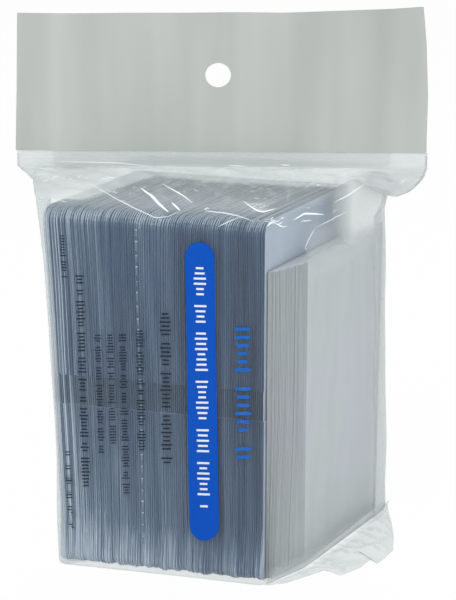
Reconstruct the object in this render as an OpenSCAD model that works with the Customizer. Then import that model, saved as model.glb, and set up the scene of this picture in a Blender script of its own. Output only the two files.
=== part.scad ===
// Retail pack of double pocket coin flips with card inserts, in a film bag with a header.
// X runs along the header, Y from the front face to the back, Z up. The pack stands on its base.
// The flips stand open on end, side by side, turned and fanned in the bag as one skewed block.

/* [Flips] */
// Width of a flip, across the pocket
flip_w = 63.5; // [45:0.5:80]
// Height of each of the two leaves
leaf_h = 63.5; // [45:0.5:80]
// Height of the crease band between the leaves
hinge_h = 5; // [3:0.5:8]
// Radius of the four outer corners
flip_corner_r = 5; // [2:0.5:8]
// Thickness of one vinyl sheet
sheet_t = 0.2; // [0.15:0.01:0.22]
// Gap that the welds keep between the back sheet and the pocket sheet
pocket_gap = 0.05; // [0.03:0.01:0.08]
// Width of the weld along the closed sides of a pocket
weld_w = 1.4; // [1:0.1:3]
// Distance from the pocket's mouth to the crease band
mouth_setback = 3; // [1:0.5:8]
// Width of the crease line where the leaves fold
crease_w = 0.8; // [0.4:0.1:1.5]
// Depth of the crease line
crease_depth = 0.08; // [0.04:0.01:0.1]

/* [Stack] */
// Bundles of flips in the pack
bundle_count = 10; // [4:1:10]
// Flips in each bundle
flips_per_bundle = 10; // [4:1:10]
// Distance from one flip to the next
flip_pitch = 0.72; // [0.68:0.01:0.9]
// Turn of the sheets away from square to the header, in degrees
stack_turn = 29; // [20:1:35]
// Fan of the stack, in degrees: each flip stands deeper than the one on its left
stack_fan = 17; // [5:1:20]
// How far single flips stand out of line
edge_scatter = 0.3; // [0:0.05:0.35]
// Free height of the contents above the bag's floor film
floor_gap = 0.25; // [0.2:0.05:0.4]

/* [Inserts] */
// Width of an insert card
card_w = 57.15; // [40:0.05:60]
// Height of an insert card
card_h = 114.3; // [80:0.1:120]
// Thickness of an insert card
card_t = 0.09; // [0.08:0.01:0.095]
// Distance from one card to the next
card_pitch = 0.106; // [0.105:0.001:0.13]
// Groups of cards in the pile
card_groups = 5; // [2:1:5]
// Cards in each group
cards_per_group = 10; // [4:1:10]
// How far the first card stands back from the last flip's front edge
card_setback = 1; // [0:0.5:6]
// How far the last card stands back from the first
card_fan = 18.5; // [5:0.5:19]

/* [Bag] */
// Thickness of the clear film
film_t = 0.15; // [0.1:0.01:0.18]
// Free space between the contents and the film around them
film_gap = 0.4; // [0.3:0.05:0.6]
// Free height over the flips, into which they can be lifted
head_room = 4.3; // [4.3:0.1:8]
// Rise of the shoulder from the walls to the flat neck
shoulder_h = 5.85; // [5:0.05:12]
// Reach of the flare with which the left side of the bag opens towards its top
left_flare = 6; // [0:0.5:8]
// Reach of the loose lobe of film at the right end of the shoulder
lobe_reach = 5; // [0:0.5:8]
// Drop of that lobe below the straight line to the neck
lobe_drop = 8.6; // [0:0.1:10]
// Height of the wall below its top in which the lobe begins
lobe_run = 17; // [10:1:30]
// Distance along the film over which the flare and the lobe fade out
fade_run = 20; // [12:1:30]
// Height of the flat clear neck below the header
neck_h = 6; // [5:0.5:10]
// Width of a side seal
seal_w = 2; // [1:0.1:3]
// Thickness of the bead of a side seal
seal_t = 0.2; // [0.1:0.01:0.25]
// Distance of the left seal behind the stack's front corner
left_seal_setback = 6.4; // [3:0.1:20]
// Distance of the right seal from the far edge of the last card
right_seal_setback = 8.5; // [3:0.1:20]
// Reach of the loose bottom corner on the right
ear_reach = 22; // [10:1:30]
// Rise of the bottom corner folded up on the left
ear_rise = 24; // [10:1:30]

/* [Header] */
// Width of the header
header_w = 142; // [136:1:156]
// Height of the header
header_h = 50; // [40:1:60]
// Thickness of one ply of the opaque header film
header_ply_t = 0.2; // [0.15:0.01:0.25]
// Diameter of the hang hole
hang_hole_d = 8.8; // [6:0.1:10]
// Height of the hang hole above the bottom of the header
hang_hole_rise = 26.5; // [15:0.5:35]
// Free height on each side of the line on which the header bends
bend_gap = 0.25; // [0.22:0.01:0.4]

/* [Closing flap] */
// Free space between the flap and the film below it
flap_gap = 0.3; // [0.25:0.05:0.5]
// Distance of each end of the flap from the side seal
flap_inset = 12; // [8:1:20]
// Thickness of the adhesive strip
adhesive_t = 0.12; // [0.05:0.01:0.15]

/* [Hidden] */
overrun = 1;
film_step = 7;
arc_steps = 3;
corner_sides = 48;
hole_sides = 96;
wall_rows = 8;
// How far the lobe's bulge has come at the wall's top, as a share of its half wave
lobe_low_share = 0.4;
// Least divisor of a mitre, for two faces that nearly fold back on each other
min_mitre_share = 0.3;
// Rows of the shoulder, counted up from the wall's top. The flap reaches down to one of them,
// and its strip lies between two.
shoulder_rows = 8;
flap_end_row = 4;
strip_end_row = 5;
strip_top_row = 7;
// Full turns between neighbours' places in the scatter, so that no two next to each other match
scatter_turn = 137.5;

flip_h = 2 * leaf_h + hinge_h;
pocket_h = leaf_h - mouth_setback;
flip_t = 2 * sheet_t + pocket_gap;
flip_total = bundle_count * flips_per_bundle;
stack_t = flip_total * flip_pitch;
stack_lead = stack_t / 2 * tan(stack_fan);
content_z = film_t + floor_gap;
ear_t = 2 * film_t;
lip_h = 2 * film_t;
cards_t = card_groups * cards_per_group * card_pitch;
card_step = card_fan / (card_groups * cards_per_group - 1);
cards_x = stack_t / 2;
cards_y = -flip_w / 2 + stack_lead + card_setback;
last_x = cards_x + cards_t;
last_y = cards_y + card_fan;

wall_top = content_z + flip_h + head_room;
ear_top = film_t + ear_rise;
neck_z = wall_top + shoulder_h;
bend_z = neck_z + neck_h;
header_z = bend_z + bend_gap;

// Corners of the contents in plan, in the frame of the sheets: X across the sheets, Y along them
front_left = [-stack_t / 2, -flip_w / 2 - stack_lead - edge_scatter];
front_right = [stack_t / 2, -flip_w / 2 + stack_lead - edge_scatter];
back_left = [-stack_t / 2, flip_w / 2 - stack_lead + edge_scatter];
card_near = [last_x, last_y];
card_far = [last_x, last_y + card_w];
seal_left = front_left + [0, left_seal_setback];
seal_right = card_far - [0, right_seal_setback];

// Moves the contents so that they lie centred under the header
plan_box_x = [world_x(front_left), world_x(card_far)];
stack_x = -(plan_box_x[0] + plan_box_x[1]) / 2;

function world_x(p) = p[0] * cos(stack_turn) + p[1] * sin(stack_turn);
function world_y(p) = -p[0] * sin(stack_turn) + p[1] * cos(stack_turn);
function world(p, z) = [stack_x + world_x(p), world_y(p), z];
function unit(v) = v / norm(v);
function side_normal(a, b) = unit([b[1] - a[1], a[0] - b[0]]);
function mix(a, b, share) = a + (b - a) * share;

// Film path round a chain of corners, as pairs of inner and outer points.
// The film turns round each corner on an arc, at film_gap from the contents.
function film_pair(p, normal) = [p + normal * film_gap, p + normal * (film_gap + film_t)];
function film_corners(chain) = [
    film_pair(chain[0], side_normal(chain[0], chain[1])),
    for (i = [1:len(chain) - 2])
        let (
            before = side_normal(chain[i - 1], chain[i]),
            after = side_normal(chain[i], chain[i + 1])
        )
        for (k = [0:arc_steps])
            film_pair(chain[i], unit(mix(before, after, k / arc_steps))),
    film_pair(chain[len(chain) - 1], side_normal(chain[len(chain) - 2], chain[len(chain) - 1])),
];
function toward(a, b, distance) = mix(a, b, distance / norm(b[0] - a[0]));

// The corners, with one more point at each end where the bead of the seal ends
function bead_ends(pairs) =
    let (last = len(pairs) - 1)
    [
        pairs[0],
        toward(pairs[0], pairs[1], seal_w / 2),
        for (i = [1:last - 1]) pairs[i],
        toward(pairs[last], pairs[last - 1], seal_w / 2),
        pairs[last]
    ];
function film_path(chain) =
    let (pairs = bead_ends(film_corners(chain)))
    [
        for (i = [0:len(pairs) - 2])
            let (count = max(1, ceil(norm(pairs[i + 1][0] - pairs[i][0]) / film_step)))
            for (k = [0:count - 1])
                mix(pairs[i], pairs[i + 1], k / count),
        pairs[len(pairs) - 1],
    ];

// Chains run counterclockwise seen from above, so that side_normal points out of the bag
front_path = film_path([seal_left, front_left, front_right, card_near, seal_right]);
back_path = film_path([seal_right, card_far, back_left, seal_left]);

// Share of the way along a path, by length
function run_lengths(path) = [
    for (i = 0, run = 0; i < len(path);
        run = run + (i < len(path) - 1 ? norm(path[i + 1][0] - path[i][0]) : 0), i = i + 1) run
];
function run_shares(path) = let (runs = run_lengths(path)) runs / runs[len(runs) - 1];

// Distances of a path's points from the left and the right seal.
// side is -1 for the front, whose path runs to +X, and 1 for the back, whose path runs to -X.
function seal_runs(path, side) =
    let (runs = run_lengths(path), total = runs[len(runs) - 1])
    [for (run = runs) side < 0 ? [run, total - run] : [total - run, run]];
function fade(distance) = distance < fade_run ? (1 + cos(180 * distance / fade_run)) / 2 : 0;

// The left side opens towards the top, with the square of the height over the folded corner
function flare_shift(from_seals, z) =
    fade(from_seals[0]) * left_flare * pow(max(0, z - ear_top) / (wall_top - ear_top), 2) * [-1, 0, 0];
// At the right the loose film hangs out in a lobe: half a wave that starts in the wall's top
// and ends at the neck
function lobe_shift(from_seals, share) =
    fade(from_seals[1]) * sin(180 * share)
    * [lobe_reach * cos(stack_turn), -lobe_reach * sin(stack_turn), -lobe_drop];

// Rows of the wall: the floor, then even steps from the folded corner's top to the shoulder.
// layer is 0 for the film's inner face and 1 for its outer face, which ends in the shoulder's mitre.
function wall_height(r) = r == 0 ? film_t : mix(ear_top, wall_top, (r - 1) / (wall_rows - 1));
function wall_row(path, side, layer, r) =
    let (
        z = wall_height(r),
        runs = seal_runs(path, side),
        share = lobe_low_share * max(0, z - wall_top + lobe_run) / lobe_run
    )
    [
        for (c = [0:len(path) - 1])
            world(path[c][layer], z) + flare_shift(runs[c], z) + lobe_shift(runs[c], share)
    ];
function outer_wall_row(path, side, r) =
    r < wall_rows
    ? wall_row(path, side, 1, r)
    : raised_row(shoulder_face(path, side), path, side, 0, film_t);

// Inner face of the shoulder, in rows from the wall's top up to the neck
function neck_x(share, side) = -side * (share - 0.5) * header_w;
function shoulder_face(path, side) =
    let (shares = run_shares(path), runs = seal_runs(path, side))
    [
        for (r = [0:shoulder_rows])
            let (rise = r / shoulder_rows)
            [
                for (c = [0:len(path) - 1])
                    mix(
                        world(path[c][0], wall_top) + flare_shift(runs[c], wall_top),
                        [neck_x(shares[c], side), 0, neck_z],
                        rise
                    ) + lobe_shift(runs[c], mix(lobe_low_share, 1, rise))
            ]
    ];
function face_normal(face, r, c) =
    let (
        last_r = len(face) - 1,
        last_c = len(face[0]) - 1,
        along = face[r][min(c + 1, last_c)] - face[r][max(c - 1, 0)],
        up = face[min(r + 1, last_r)][c] - face[max(r - 1, 0)][c]
    )
    unit(cross(along, up));

// Row r of the shoulder, moved out by a distance: along its normal, but at a mitre on the first row,
// where the film turns in from the wall, and on the last, where it turns up into the neck.
function mitre(a, b) = (a + b) / max(1 + a * b, min_mitre_share);
function raised_row(face, path, side, r, distance) = [
    for (c = [0:len(path) - 1])
        let (normal = face_normal(face, r, c), out = (path[c][1] - path[c][0]) / film_t)
        face[r][c] + distance * (
            r == 0 ? mitre([world_x(out), world_y(out), 0], normal)
            : r == shoulder_rows ? mitre([0, side, 0], normal)
            : normal
        )
];

// Above its last row the shoulder ends in a low upright lip, which the neck stands on
function lip_row(path, side, distance) =
    let (shares = run_shares(path))
    [for (c = [0:len(path) - 1]) [neck_x(shares[c], side), side * distance, neck_z + lip_h]];

// Closed thin shell between two grids of points with the same rows
module shell(inner, outer) {
    rows = len(inner);
    cols = len(inner[0]);
    count = rows * cols;
    points = [for (row = concat(inner, outer)) for (p = row) p];
    faces = [
        for (r = [0:rows - 2]) for (c = [0:cols - 2])
            let (a = r * cols + c, b = a + 1, d = a + cols, e = d + 1)
            each [
                [a, b, e], [a, e, d],
                [count + a, count + e, count + b], [count + a, count + d, count + e]
            ],
        for (c = [0:cols - 2])
            let (a = c, b = (rows - 1) * cols + c)
            each [
                [a, count + a, count + a + 1], [a, count + a + 1, a + 1],
                [b, b + 1, count + b + 1], [b, count + b + 1, count + b]
            ],
        for (r = [0:rows - 2])
            let (a = r * cols, b = a + cols - 1)
            each [
                [a, a + cols, count + a + cols], [a, count + a + cols, count + a],
                [b, count + b, count + b + cols], [b, count + b + cols, b + cols]
            ],
    ];
    polyhedron(points = points, faces = faces);
}

// Puts children drawn in the frame of the sheets in their place under the header
module place_in_bag() {
    translate([stack_x, 0, 0])
        rotate([0, 0, -stack_turn])
            children();
}

module rounded_sheet(w, h, r) {
    for (y = [r, w - r])
        for (z = [r, h - r])
            translate([y, z]) circle(r = r, $fn = corner_sides);
    translate([r, 0]) square([w - 2 * r, h]);
    translate([0, r]) square([w, h - 2 * r]);
}

// Stands a flat outline on edge: its X becomes depth, its Y height, its thickness runs to +X
module on_edge(thickness) {
    rotate([90, 0, 90])
        linear_extrude(height = thickness)
            children();
}

function flip_x(i) = -stack_t / 2 + i * flip_pitch;
function flip_y(i) = -flip_w / 2 + (flip_x(i) + flip_t / 2) * tan(stack_fan)
    + edge_scatter * sin(i * scatter_turn);

module at_flip(i) {
    place_in_bag()
        translate([flip_x(i), flip_y(i), content_z])
            children();
}

module back_sheet() {
    difference() {
        on_edge(sheet_t)
            rounded_sheet(flip_w, flip_h, flip_corner_r);
        translate([sheet_t - crease_depth, -overrun, (flip_h - crease_w) / 2])
            cube([crease_depth + overrun, flip_w + 2 * overrun, crease_w]);
    }
}

// Outline of a pocket sheet: rounded at the closed end below, square at the mouth
module pocket_outline() {
    intersection() {
        rounded_sheet(flip_w, flip_h, flip_corner_r);
        square([flip_w, pocket_h]);
    }
}

module pocket_sheet() {
    translate([sheet_t + pocket_gap, 0, 0])
        on_edge(sheet_t)
            pocket_outline();
    translate([sheet_t, 0, 0])
        on_edge(pocket_gap)
            difference() {
                pocket_outline();
                translate([weld_w, weld_w])
                    square([flip_w - 2 * weld_w, pocket_h]);
            }
}

module flip_backs(bundle) {
    color("lightsteelblue", 0.8)
        for (i = [0:flips_per_bundle - 1])
            at_flip(bundle * flips_per_bundle + i) back_sheet();
}

module lower_pockets(bundle) {
    color("slategray", 0.8)
        for (i = [0:flips_per_bundle - 1])
            at_flip(bundle * flips_per_bundle + i) pocket_sheet();
}

module upper_pockets(bundle) {
    color("lightslategray", 0.8)
        for (i = [0:flips_per_bundle - 1])
            at_flip(bundle * flips_per_bundle + i)
                translate([0, 0, flip_h]) mirror([0, 0, 1]) pocket_sheet();
}

module insert_cards(group) {
    color("gainsboro")
        for (i = [0:cards_per_group - 1])
            let (card = group * cards_per_group + i)
                place_in_bag()
                    translate([cards_x + card * card_pitch, cards_y + card * card_step, content_z])
                        cube([card_t, card_w, card_h]);
}

module film_wall(path, side) {
    shell(
        [for (r = [0:wall_rows]) wall_row(path, side, 0, r)],
        [for (r = [0:wall_rows]) outer_wall_row(path, side, r)]
    );
}

module front_film() {
    color("lightcyan", 0.3) film_wall(front_path, -1);
}

module back_film() {
    color("lightcyan", 0.3) film_wall(back_path, 1);
}

module bag_floor() {
    color("lightcyan", 0.3)
        place_in_bag()
            linear_extrude(height = film_t)
                polygon([for (p = concat(front_path, back_path)) p[1]]);
}

module shoulder(path, side) {
    face = shoulder_face(path, side);
    raised = [for (r = [0:shoulder_rows]) raised_row(face, path, side, r, film_t)];
    shell(concat(face, [lip_row(path, side, 0)]), concat(raised, [lip_row(path, side, film_t)]));
}

module front_shoulder() {
    color("lightcyan", 0.3) shoulder(front_path, -1);
}

module back_shoulder() {
    color("lightcyan", 0.3) shoulder(back_path, 1);
}

module front_neck() {
    color("azure", 0.4)
        translate([-header_w / 2, -film_t, neck_z + lip_h])
            cube([header_w, film_t, neck_h - lip_h - bend_gap]);
}

// Bead over the line where the front and back films are welded, up the wall from the ears.
// It lies on three columns of the walls: the seal and its neighbours in the paths before and after it.
module seal_bead(before_path, before_side, after_path, after_side, out) {
    last = len(before_path) - 1;
    rows = [
        for (r = [0:wall_rows])
            let (
                before = outer_wall_row(before_path, before_side, r),
                after = outer_wall_row(after_path, after_side, r)
            )
            [
                for (p = [before[last - 1], before[last], after[1]])
                    r == 0 ? [p[0], p[1], ear_t] : p
            ]
    ];
    shift = seal_t * [world_x(out), world_y(out), 0];
    shell(rows, [for (row = rows) [for (p = row) p + shift]]);
}

module side_seal_left() {
    color("whitesmoke", 0.6) seal_bead(back_path, 1, front_path, -1, [-1, 0]);
}

module side_seal_right() {
    color("whitesmoke", 0.6) seal_bead(front_path, -1, back_path, 1, [1, 0]);
}

// Loose corner of the bag's bottom that lies out on the floor at the right.
// Its outline starts and ends on the pile's face, in shares of the reach and of the card's width.
ear_outline_shares = [
    [0, 0], [0.35, 0.02], [0.7, 0], [0.83, 0.15], [1, 0.25], [1, 0.48], [0.78, 0.67], [0.15, 1], [0, 1]
];

module bottom_ear_right() {
    start_x = last_x + film_gap + film_t;
    color("lightcyan", 0.4)
        place_in_bag()
            linear_extrude(height = ear_t)
                polygon([
                    for (share = ear_outline_shares)
                        [start_x + share[0] * ear_reach, last_y + share[1] * card_w]
                ]);
}

// The other bottom corner, folded up flat on the left side of the block
module bottom_ear_left() {
    start_x = -stack_t / 2 - film_gap - film_t - seal_t;
    low = front_left[1];
    high = back_left[1];
    color("lightcyan", 0.4)
        place_in_bag()
            translate([start_x - ear_t, 0, 0])
                on_edge(ear_t)
                    polygon([
                        [low, film_t],
                        [high, film_t],
                        [(low + high) / 2, ear_top]
                    ]);
}

module header_ply(side) {
    difference() {
        translate([-header_w / 2, side < 0 ? -header_ply_t : 0, header_z])
            cube([header_w, header_ply_t, header_h]);
        translate([0, 0, header_z + hang_hole_rise])
            rotate([90, 0, 0])
                cylinder(h = 4 * header_ply_t, d = hang_hole_d, center = true, $fn = hole_sides);
    }
}

module header_front_ply() {
    color("silver") header_ply(-1);
}

module header_back_ply() {
    color("gainsboro") header_ply(1);
}

// The closing flap hangs over the mouth, down the neck and along the back shoulder.
// Its rows are the shoulder's own, moved out, so it lies off the film by the same gap all over.
back_face = shoulder_face(back_path, 1);
back_shares = run_shares(back_path);
flap_columns = [
    for (c = [0:len(back_path) - 1])
        if (abs(neck_x(back_shares[c], 1)) <= header_w / 2 - flap_inset) c
];
function flap_row(r, distance) =
    let (row = raised_row(back_face, back_path, 1, r, film_t + distance))
    [for (c = flap_columns) row[c]];
function flap_neck_row(distance) = [
    for (c = flap_columns)
        [neck_x(back_shares[c], 1), film_t + distance, bend_z - bend_gap]
];
function flap_rows(distance) = concat(
    [for (r = [flap_end_row:shoulder_rows]) flap_row(r, distance)],
    [flap_neck_row(distance)]
);

module closing_flap() {
    color("lightcyan", 0.5) shell(flap_rows(flap_gap), flap_rows(flap_gap + film_t));
}

module adhesive_strip() {
    color("white", 0.6)
        shell(
            [for (r = [strip_end_row:strip_top_row]) flap_row(r, flap_gap - adhesive_t)],
            [for (r = [strip_end_row:strip_top_row]) flap_row(r, flap_gap)]
        );
}

function numbered(name, i) = str(name, "_", i < 9 ? "0" : "", i + 1);

bag_floor();
front_film();
back_film();
front_shoulder();
back_shoulder();
front_neck();
side_seal_left();
side_seal_right();
bottom_ear_left();
bottom_ear_right();
header_front_ply();
header_back_ply();
closing_flap();
adhesive_strip();
for (b = [0:bundle_count - 1]) {
    flip_backs(b);
    lower_pockets(b);
    upper_pockets(b);
}
for (g = [0:card_groups - 1])
    insert_cards(g);
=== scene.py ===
# %% [markdown]
# # A retail pack of coin flips in a clear film bag
#
# A hundred clear vinyl flips stand open on end in a bag of clear film, with a pile of white card
# inserts on their right. The bag closes into an opaque header with a hang hole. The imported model
# gives the true place of every piece. This lesson dresses it: ragged sheets, creased film, waved
# header, plain print. All lengths are worked out in millimetres and become metres in the mesh.

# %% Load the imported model
import math
import bpy
import numpy as np
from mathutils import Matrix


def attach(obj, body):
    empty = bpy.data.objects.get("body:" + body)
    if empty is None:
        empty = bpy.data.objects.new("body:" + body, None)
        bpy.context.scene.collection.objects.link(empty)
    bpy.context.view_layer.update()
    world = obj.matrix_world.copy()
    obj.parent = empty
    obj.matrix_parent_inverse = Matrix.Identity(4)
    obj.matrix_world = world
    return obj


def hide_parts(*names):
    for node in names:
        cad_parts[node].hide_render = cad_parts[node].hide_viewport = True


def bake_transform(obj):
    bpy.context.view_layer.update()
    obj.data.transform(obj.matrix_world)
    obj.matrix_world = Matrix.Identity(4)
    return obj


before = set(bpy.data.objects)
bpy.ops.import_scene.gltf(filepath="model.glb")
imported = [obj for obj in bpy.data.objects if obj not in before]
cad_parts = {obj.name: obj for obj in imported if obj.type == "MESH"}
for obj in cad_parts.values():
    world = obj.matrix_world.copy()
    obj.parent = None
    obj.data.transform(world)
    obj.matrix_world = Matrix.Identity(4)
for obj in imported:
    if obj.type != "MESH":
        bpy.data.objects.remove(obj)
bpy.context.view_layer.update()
MM = 0.001

# %% [markdown]
# ## The camera
#
# The view was fitted to sixteen corners of the block, the card pile and the header. The lens is
# written for a picture 600 pixels tall, so the sensor is measured upright.

# %% Camera at the photograph's angle
AZIMUTH, ELEVATION, RANGE = math.radians(1.89), math.radians(18.147), 698.934
AIM_RIGHT, AIM_UP = 2.227, 93.677
FOCAL_PX, PICTURE_H, SENSOR_H = 1951.8, 600, 24
PICTURE_CENTRE = np.array([228, 300])

eye_right = np.array([math.cos(AZIMUTH), math.sin(AZIMUTH), 0])
toward_eye = np.array([math.sin(AZIMUTH) * math.cos(ELEVATION),
                       -math.cos(AZIMUTH) * math.cos(ELEVATION), math.sin(ELEVATION)])
eye_up = np.cross(toward_eye, eye_right)
EYE = AIM_RIGHT * eye_right + [0, 0, AIM_UP] + RANGE * toward_eye

lens = bpy.data.cameras.new("camera")
lens.sensor_fit = "VERTICAL"
lens.sensor_height = SENSOR_H
lens.lens = FOCAL_PX * SENSOR_H / PICTURE_H
camera = bpy.data.objects.new("camera", lens)
camera.location = EYE * MM
camera.rotation_euler = (math.pi / 2 - ELEVATION, 0, AZIMUTH)
bpy.context.scene.collection.objects.link(camera)
bpy.context.scene.camera = camera


def to_pixels(points):
    """Pixels of points in mm: F d.right / depth to the right and F d.up / depth upwards of the
    picture's centre, where d runs from the eye."""
    d = points - EYE
    depth = -(d @ toward_eye)
    return PICTURE_CENTRE + FOCAL_PX * np.stack([d @ eye_right, -(d @ eye_up)], -1) / depth[..., None]


print("camera at", np.round(np.array(camera.location), 3), "lens", round(lens.lens, 2), "mm")

# %% [markdown]
# ## Meshes from whole arrays
#
# Every new piece is a grid of points worked out at once with numpy. A sheet of film is two grids
# a little apart, joined round their rims, so it is a closed solid with its faces outwards. A tube
# of points with two ends makes the small solids.

# %% Faces of grids, shells and tubes
SHARP_ANGLE = math.radians(50)


def grid_quads(rows, cols, wrap=False):
    """Quads of a grid of rows x cols points, counterclockwise seen with columns to the right
    and rows up. With wrap, the last column joins the first."""
    r, c = np.meshgrid(np.arange(rows - 1), np.arange(cols if wrap else cols - 1), indexing="ij")
    a = r * cols + c
    b = r * cols + (c + 1) % cols
    return np.stack([a, b, b + cols, a + cols], -1).reshape(-1, 4)


def shell_faces(rows, cols, wrap=False, pole=False):
    """Faces of two grids a little apart, the outer one first, joined along their rims. With a pole,
    the first row closes on one more point in each grid instead."""
    count = rows * cols
    quads = grid_quads(rows, cols, wrap)
    index = np.arange(count).reshape(rows, cols)
    if wrap:
        index = np.concatenate([index, index[:, :1]], 1)
    rims = [index[-1]]
    if not pole:
        rims.append(index[0, ::-1])
    if not wrap:
        rims.extend([index[:, 0], index[::-1, -1]])
    faces = [quads, quads[:, ::-1] + count]
    faces.extend(np.stack([e[:-1], e[1:], e[1:] + count, e[:-1] + count], -1) for e in rims)
    if pole:
        here, after, tip = index[0, :-1], index[0, 1:], np.full(cols, 2 * count)
        faces.extend([np.stack([after, here, tip], -1), np.stack([here + count, after + count, tip + 1], -1)])
    return faces


def tube_faces(rows, sides):
    """Side quads and end faces of a tube whose rows of points wind clockwise seen from its end."""
    side = np.arange(sides)
    a = np.arange(rows - 1)[:, None] * sides + side
    b = np.arange(rows - 1)[:, None] * sides + (side + 1) % sides
    walls = np.stack([b, a, a + sides, b + sides], -1).reshape(-1, 4)
    return walls, np.stack([side, side[::-1] + (rows - 1) * sides])


def repeated(faces, size, times):
    """The faces of one solid of size points, for as many copies as times says."""
    return (faces[None] + np.arange(times)[:, None, None] * size).reshape(-1, faces.shape[1])

# %% Pieces
def add_piece(name, points_mm, faces, material, smooth=True):
    """Puts points (..., 3) in mm and a list of face arrays, one for each face size, into an object."""
    mesh = bpy.data.meshes.new(name)
    faces = [np.asarray(f, np.int32) for f in faces if len(f)]
    sizes = np.concatenate([np.full(len(f), f.shape[1], np.int32) for f in faces])
    corners = np.concatenate([f.ravel() for f in faces])
    places = (np.reshape(points_mm, (-1, 3)) * MM).astype(np.float32)
    mesh.vertices.add(len(places))
    mesh.vertices.foreach_set("co", places.ravel())
    mesh.loops.add(len(corners))
    mesh.loops.foreach_set("vertex_index", corners)
    mesh.polygons.add(len(sizes))
    mesh.polygons.foreach_set("loop_start", np.concatenate([[0], np.cumsum(sizes)[:-1]]).astype(np.int32))
    mesh.polygons.foreach_set("use_smooth", np.full(len(sizes), smooth))
    mesh.update(calc_edges=True)
    mesh.validate()
    if smooth:
        # cut rims stay sharp, or their shade would run into the face beside them
        mesh.set_sharp_from_angle(angle=SHARP_ANGLE)
    mesh.materials.append(material)
    piece = bpy.data.objects.new(name, mesh)
    bpy.context.scene.collection.objects.link(piece)
    return piece


def store(piece, name, values, domain="POINT"):
    """Keeps a number for each point or face on the mesh, for its material to read. A list that is
    too short is repeated, so one number goes everywhere, and one grid's numbers go on both."""
    kept = piece.data.attributes.new(name, "FLOAT", domain)
    kept.data.foreach_set("value", np.resize(np.asarray(values, np.float32), len(kept.data)))


def fit(piece, body, slot, *nodes):
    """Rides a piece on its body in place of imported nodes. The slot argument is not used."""
    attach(piece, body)
    if nodes:
        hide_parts(*nodes)
    return piece


def normals_of(grid, wrap=False):
    """Unit normals of a grid (rows, cols, 3): the cross product of the step along the columns
    and the step up the rows."""
    if wrap:
        along = np.roll(grid, -1, 1) - np.roll(grid, 1, 1)
    else:
        along = np.gradient(grid, axis=1)
    n = np.cross(along, np.gradient(grid, axis=0))
    return n / np.maximum(np.linalg.norm(n, axis=2, keepdims=True), 1e-9)


def shell(name, outer, inner, material, wrap=False, pole=None):
    """Closed piece between two grids. pole holds the two points that close the foot of a bag."""
    points = [outer.reshape(-1, 3), inner.reshape(-1, 3)] + ([] if pole is None else [pole])
    faces = shell_faces(*outer.shape[:2], wrap, pole is not None)
    return add_piece(name, np.concatenate(points), faces, material)


def film(name, outer, thickness, material, wrap=False, pole=None):
    """Closed film from its outer grid: the inner grid lies thickness behind it along the normals."""
    return shell(name, outer, outer - normals_of(outer, wrap) * thickness, material, wrap, pole)


def ripples(seed, u, v, waves, longest, shortest):
    """Smooth noise of about -1..1: a sum of sine waves in seeded directions, whose lengths
    run from longest to shortest."""
    rng = np.random.default_rng(seed)
    total = np.zeros(np.broadcast(u, v).shape)
    for length in np.geomspace(longest, shortest, waves):
        angle, phase = rng.uniform(0, 2 * np.pi, 2)
        total += np.sin(2 * np.pi * (u * np.cos(angle) + v * np.sin(angle)) / length + phase)
    return total / np.sqrt(waves)


def folds(seed, u, v, planes, reach):
    """Crumpled film: the highest of several seeded tilted planes, which meet in sharp folds,
    repeated by a triangle wave of the given reach in mm. About 0..1."""
    rng = np.random.default_rng(seed)
    best = None
    for _ in range(planes):
        angle, shift, size = rng.uniform(0, 2 * np.pi), rng.uniform(0, 1), rng.uniform(0.7, 1.6)
        run = (u * np.cos(angle) + v * np.sin(angle)) / (reach * size) + shift
        ridge = np.abs(2 * (run - np.floor(run)) - 1)
        best = ridge if best is None else np.maximum(best, ridge)
    return best


def ease(a, b, t):
    """0 at a and before it, 1 at b and past it, and a smooth step between them."""
    t = np.clip((t - a) / (b - a), 0, 1)
    return t * t * (3 - 2 * t)


print("helpers ready")

# %% [markdown]
# ## Materials
#
# Each finish has its common name and starts from how the real one is made. Colours are written as
# the sRGB hex values that the eye sees, and one function turns them to linear light. One function
# adds a node. Film is not made of glass: a ray goes through 0.03 mm of film unbent, so a mix of a
# slightly grey Transparent shader and a glossy one is truer and lets the light reach the flips.

# %% Colours and the node helper
def linear(hex_colour):
    """Linear RGBA of an sRGB hex colour: c / 12.92 below 0.04045, else ((c + 0.055) / 1.055) ** 2.4."""
    c = np.array([int(hex_colour[i:i + 2], 16) for i in (1, 3, 5)]) / 255
    return (*np.where(c <= 0.04045, c / 12.92, ((c + 0.055) / 1.055) ** 2.4).tolist(), 1.0)


def add_node(tree, kind, values=(), **settings):
    """Adds one shader node and gives back its outputs. A socket's value is a number, a hex colour
    or the output to join to it."""
    node = tree.nodes.new("ShaderNode" + kind)
    for key, value in settings.items():
        setattr(node, key, value)
    for key, value in dict(values).items():
        if isinstance(value, bpy.types.NodeSocket):
            tree.links.new(value, node.inputs[key])
        else:
            node.inputs[key].default_value = linear(value) if isinstance(value, str) else value
    return node.outputs


def calculate(tree, operation, *numbers, clamp=False):
    """Output of a Math node."""
    return add_node(tree, "Math", dict(enumerate(numbers)), operation=operation, use_clamp=clamp)[0]


def attribute(tree, name):
    """A number kept on the mesh."""
    return add_node(tree, "Attribute", attribute_name=name)["Fac"]


def object_place(tree, scale=None):
    """Place on the piece in metres, stretched by scale where one is given."""
    place = add_node(tree, "TexCoord")["Object"]
    return add_node(tree, "Mapping", {"Vector": place, "Scale": scale})[0] if scale else place


def noise(tree, place, scale, detail):
    """Smooth noise of that many lumps a metre."""
    return add_node(tree, "TexNoise", {"Vector": place, "Scale": scale, "Detail": detail})["Fac"]


def upward(tree):
    """How far a face looks up, from -1 to 1."""
    normal = add_node(tree, "NewGeometry")["Normal"]
    return add_node(tree, "SeparateXYZ", {"Vector": normal})["Z"]


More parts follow.
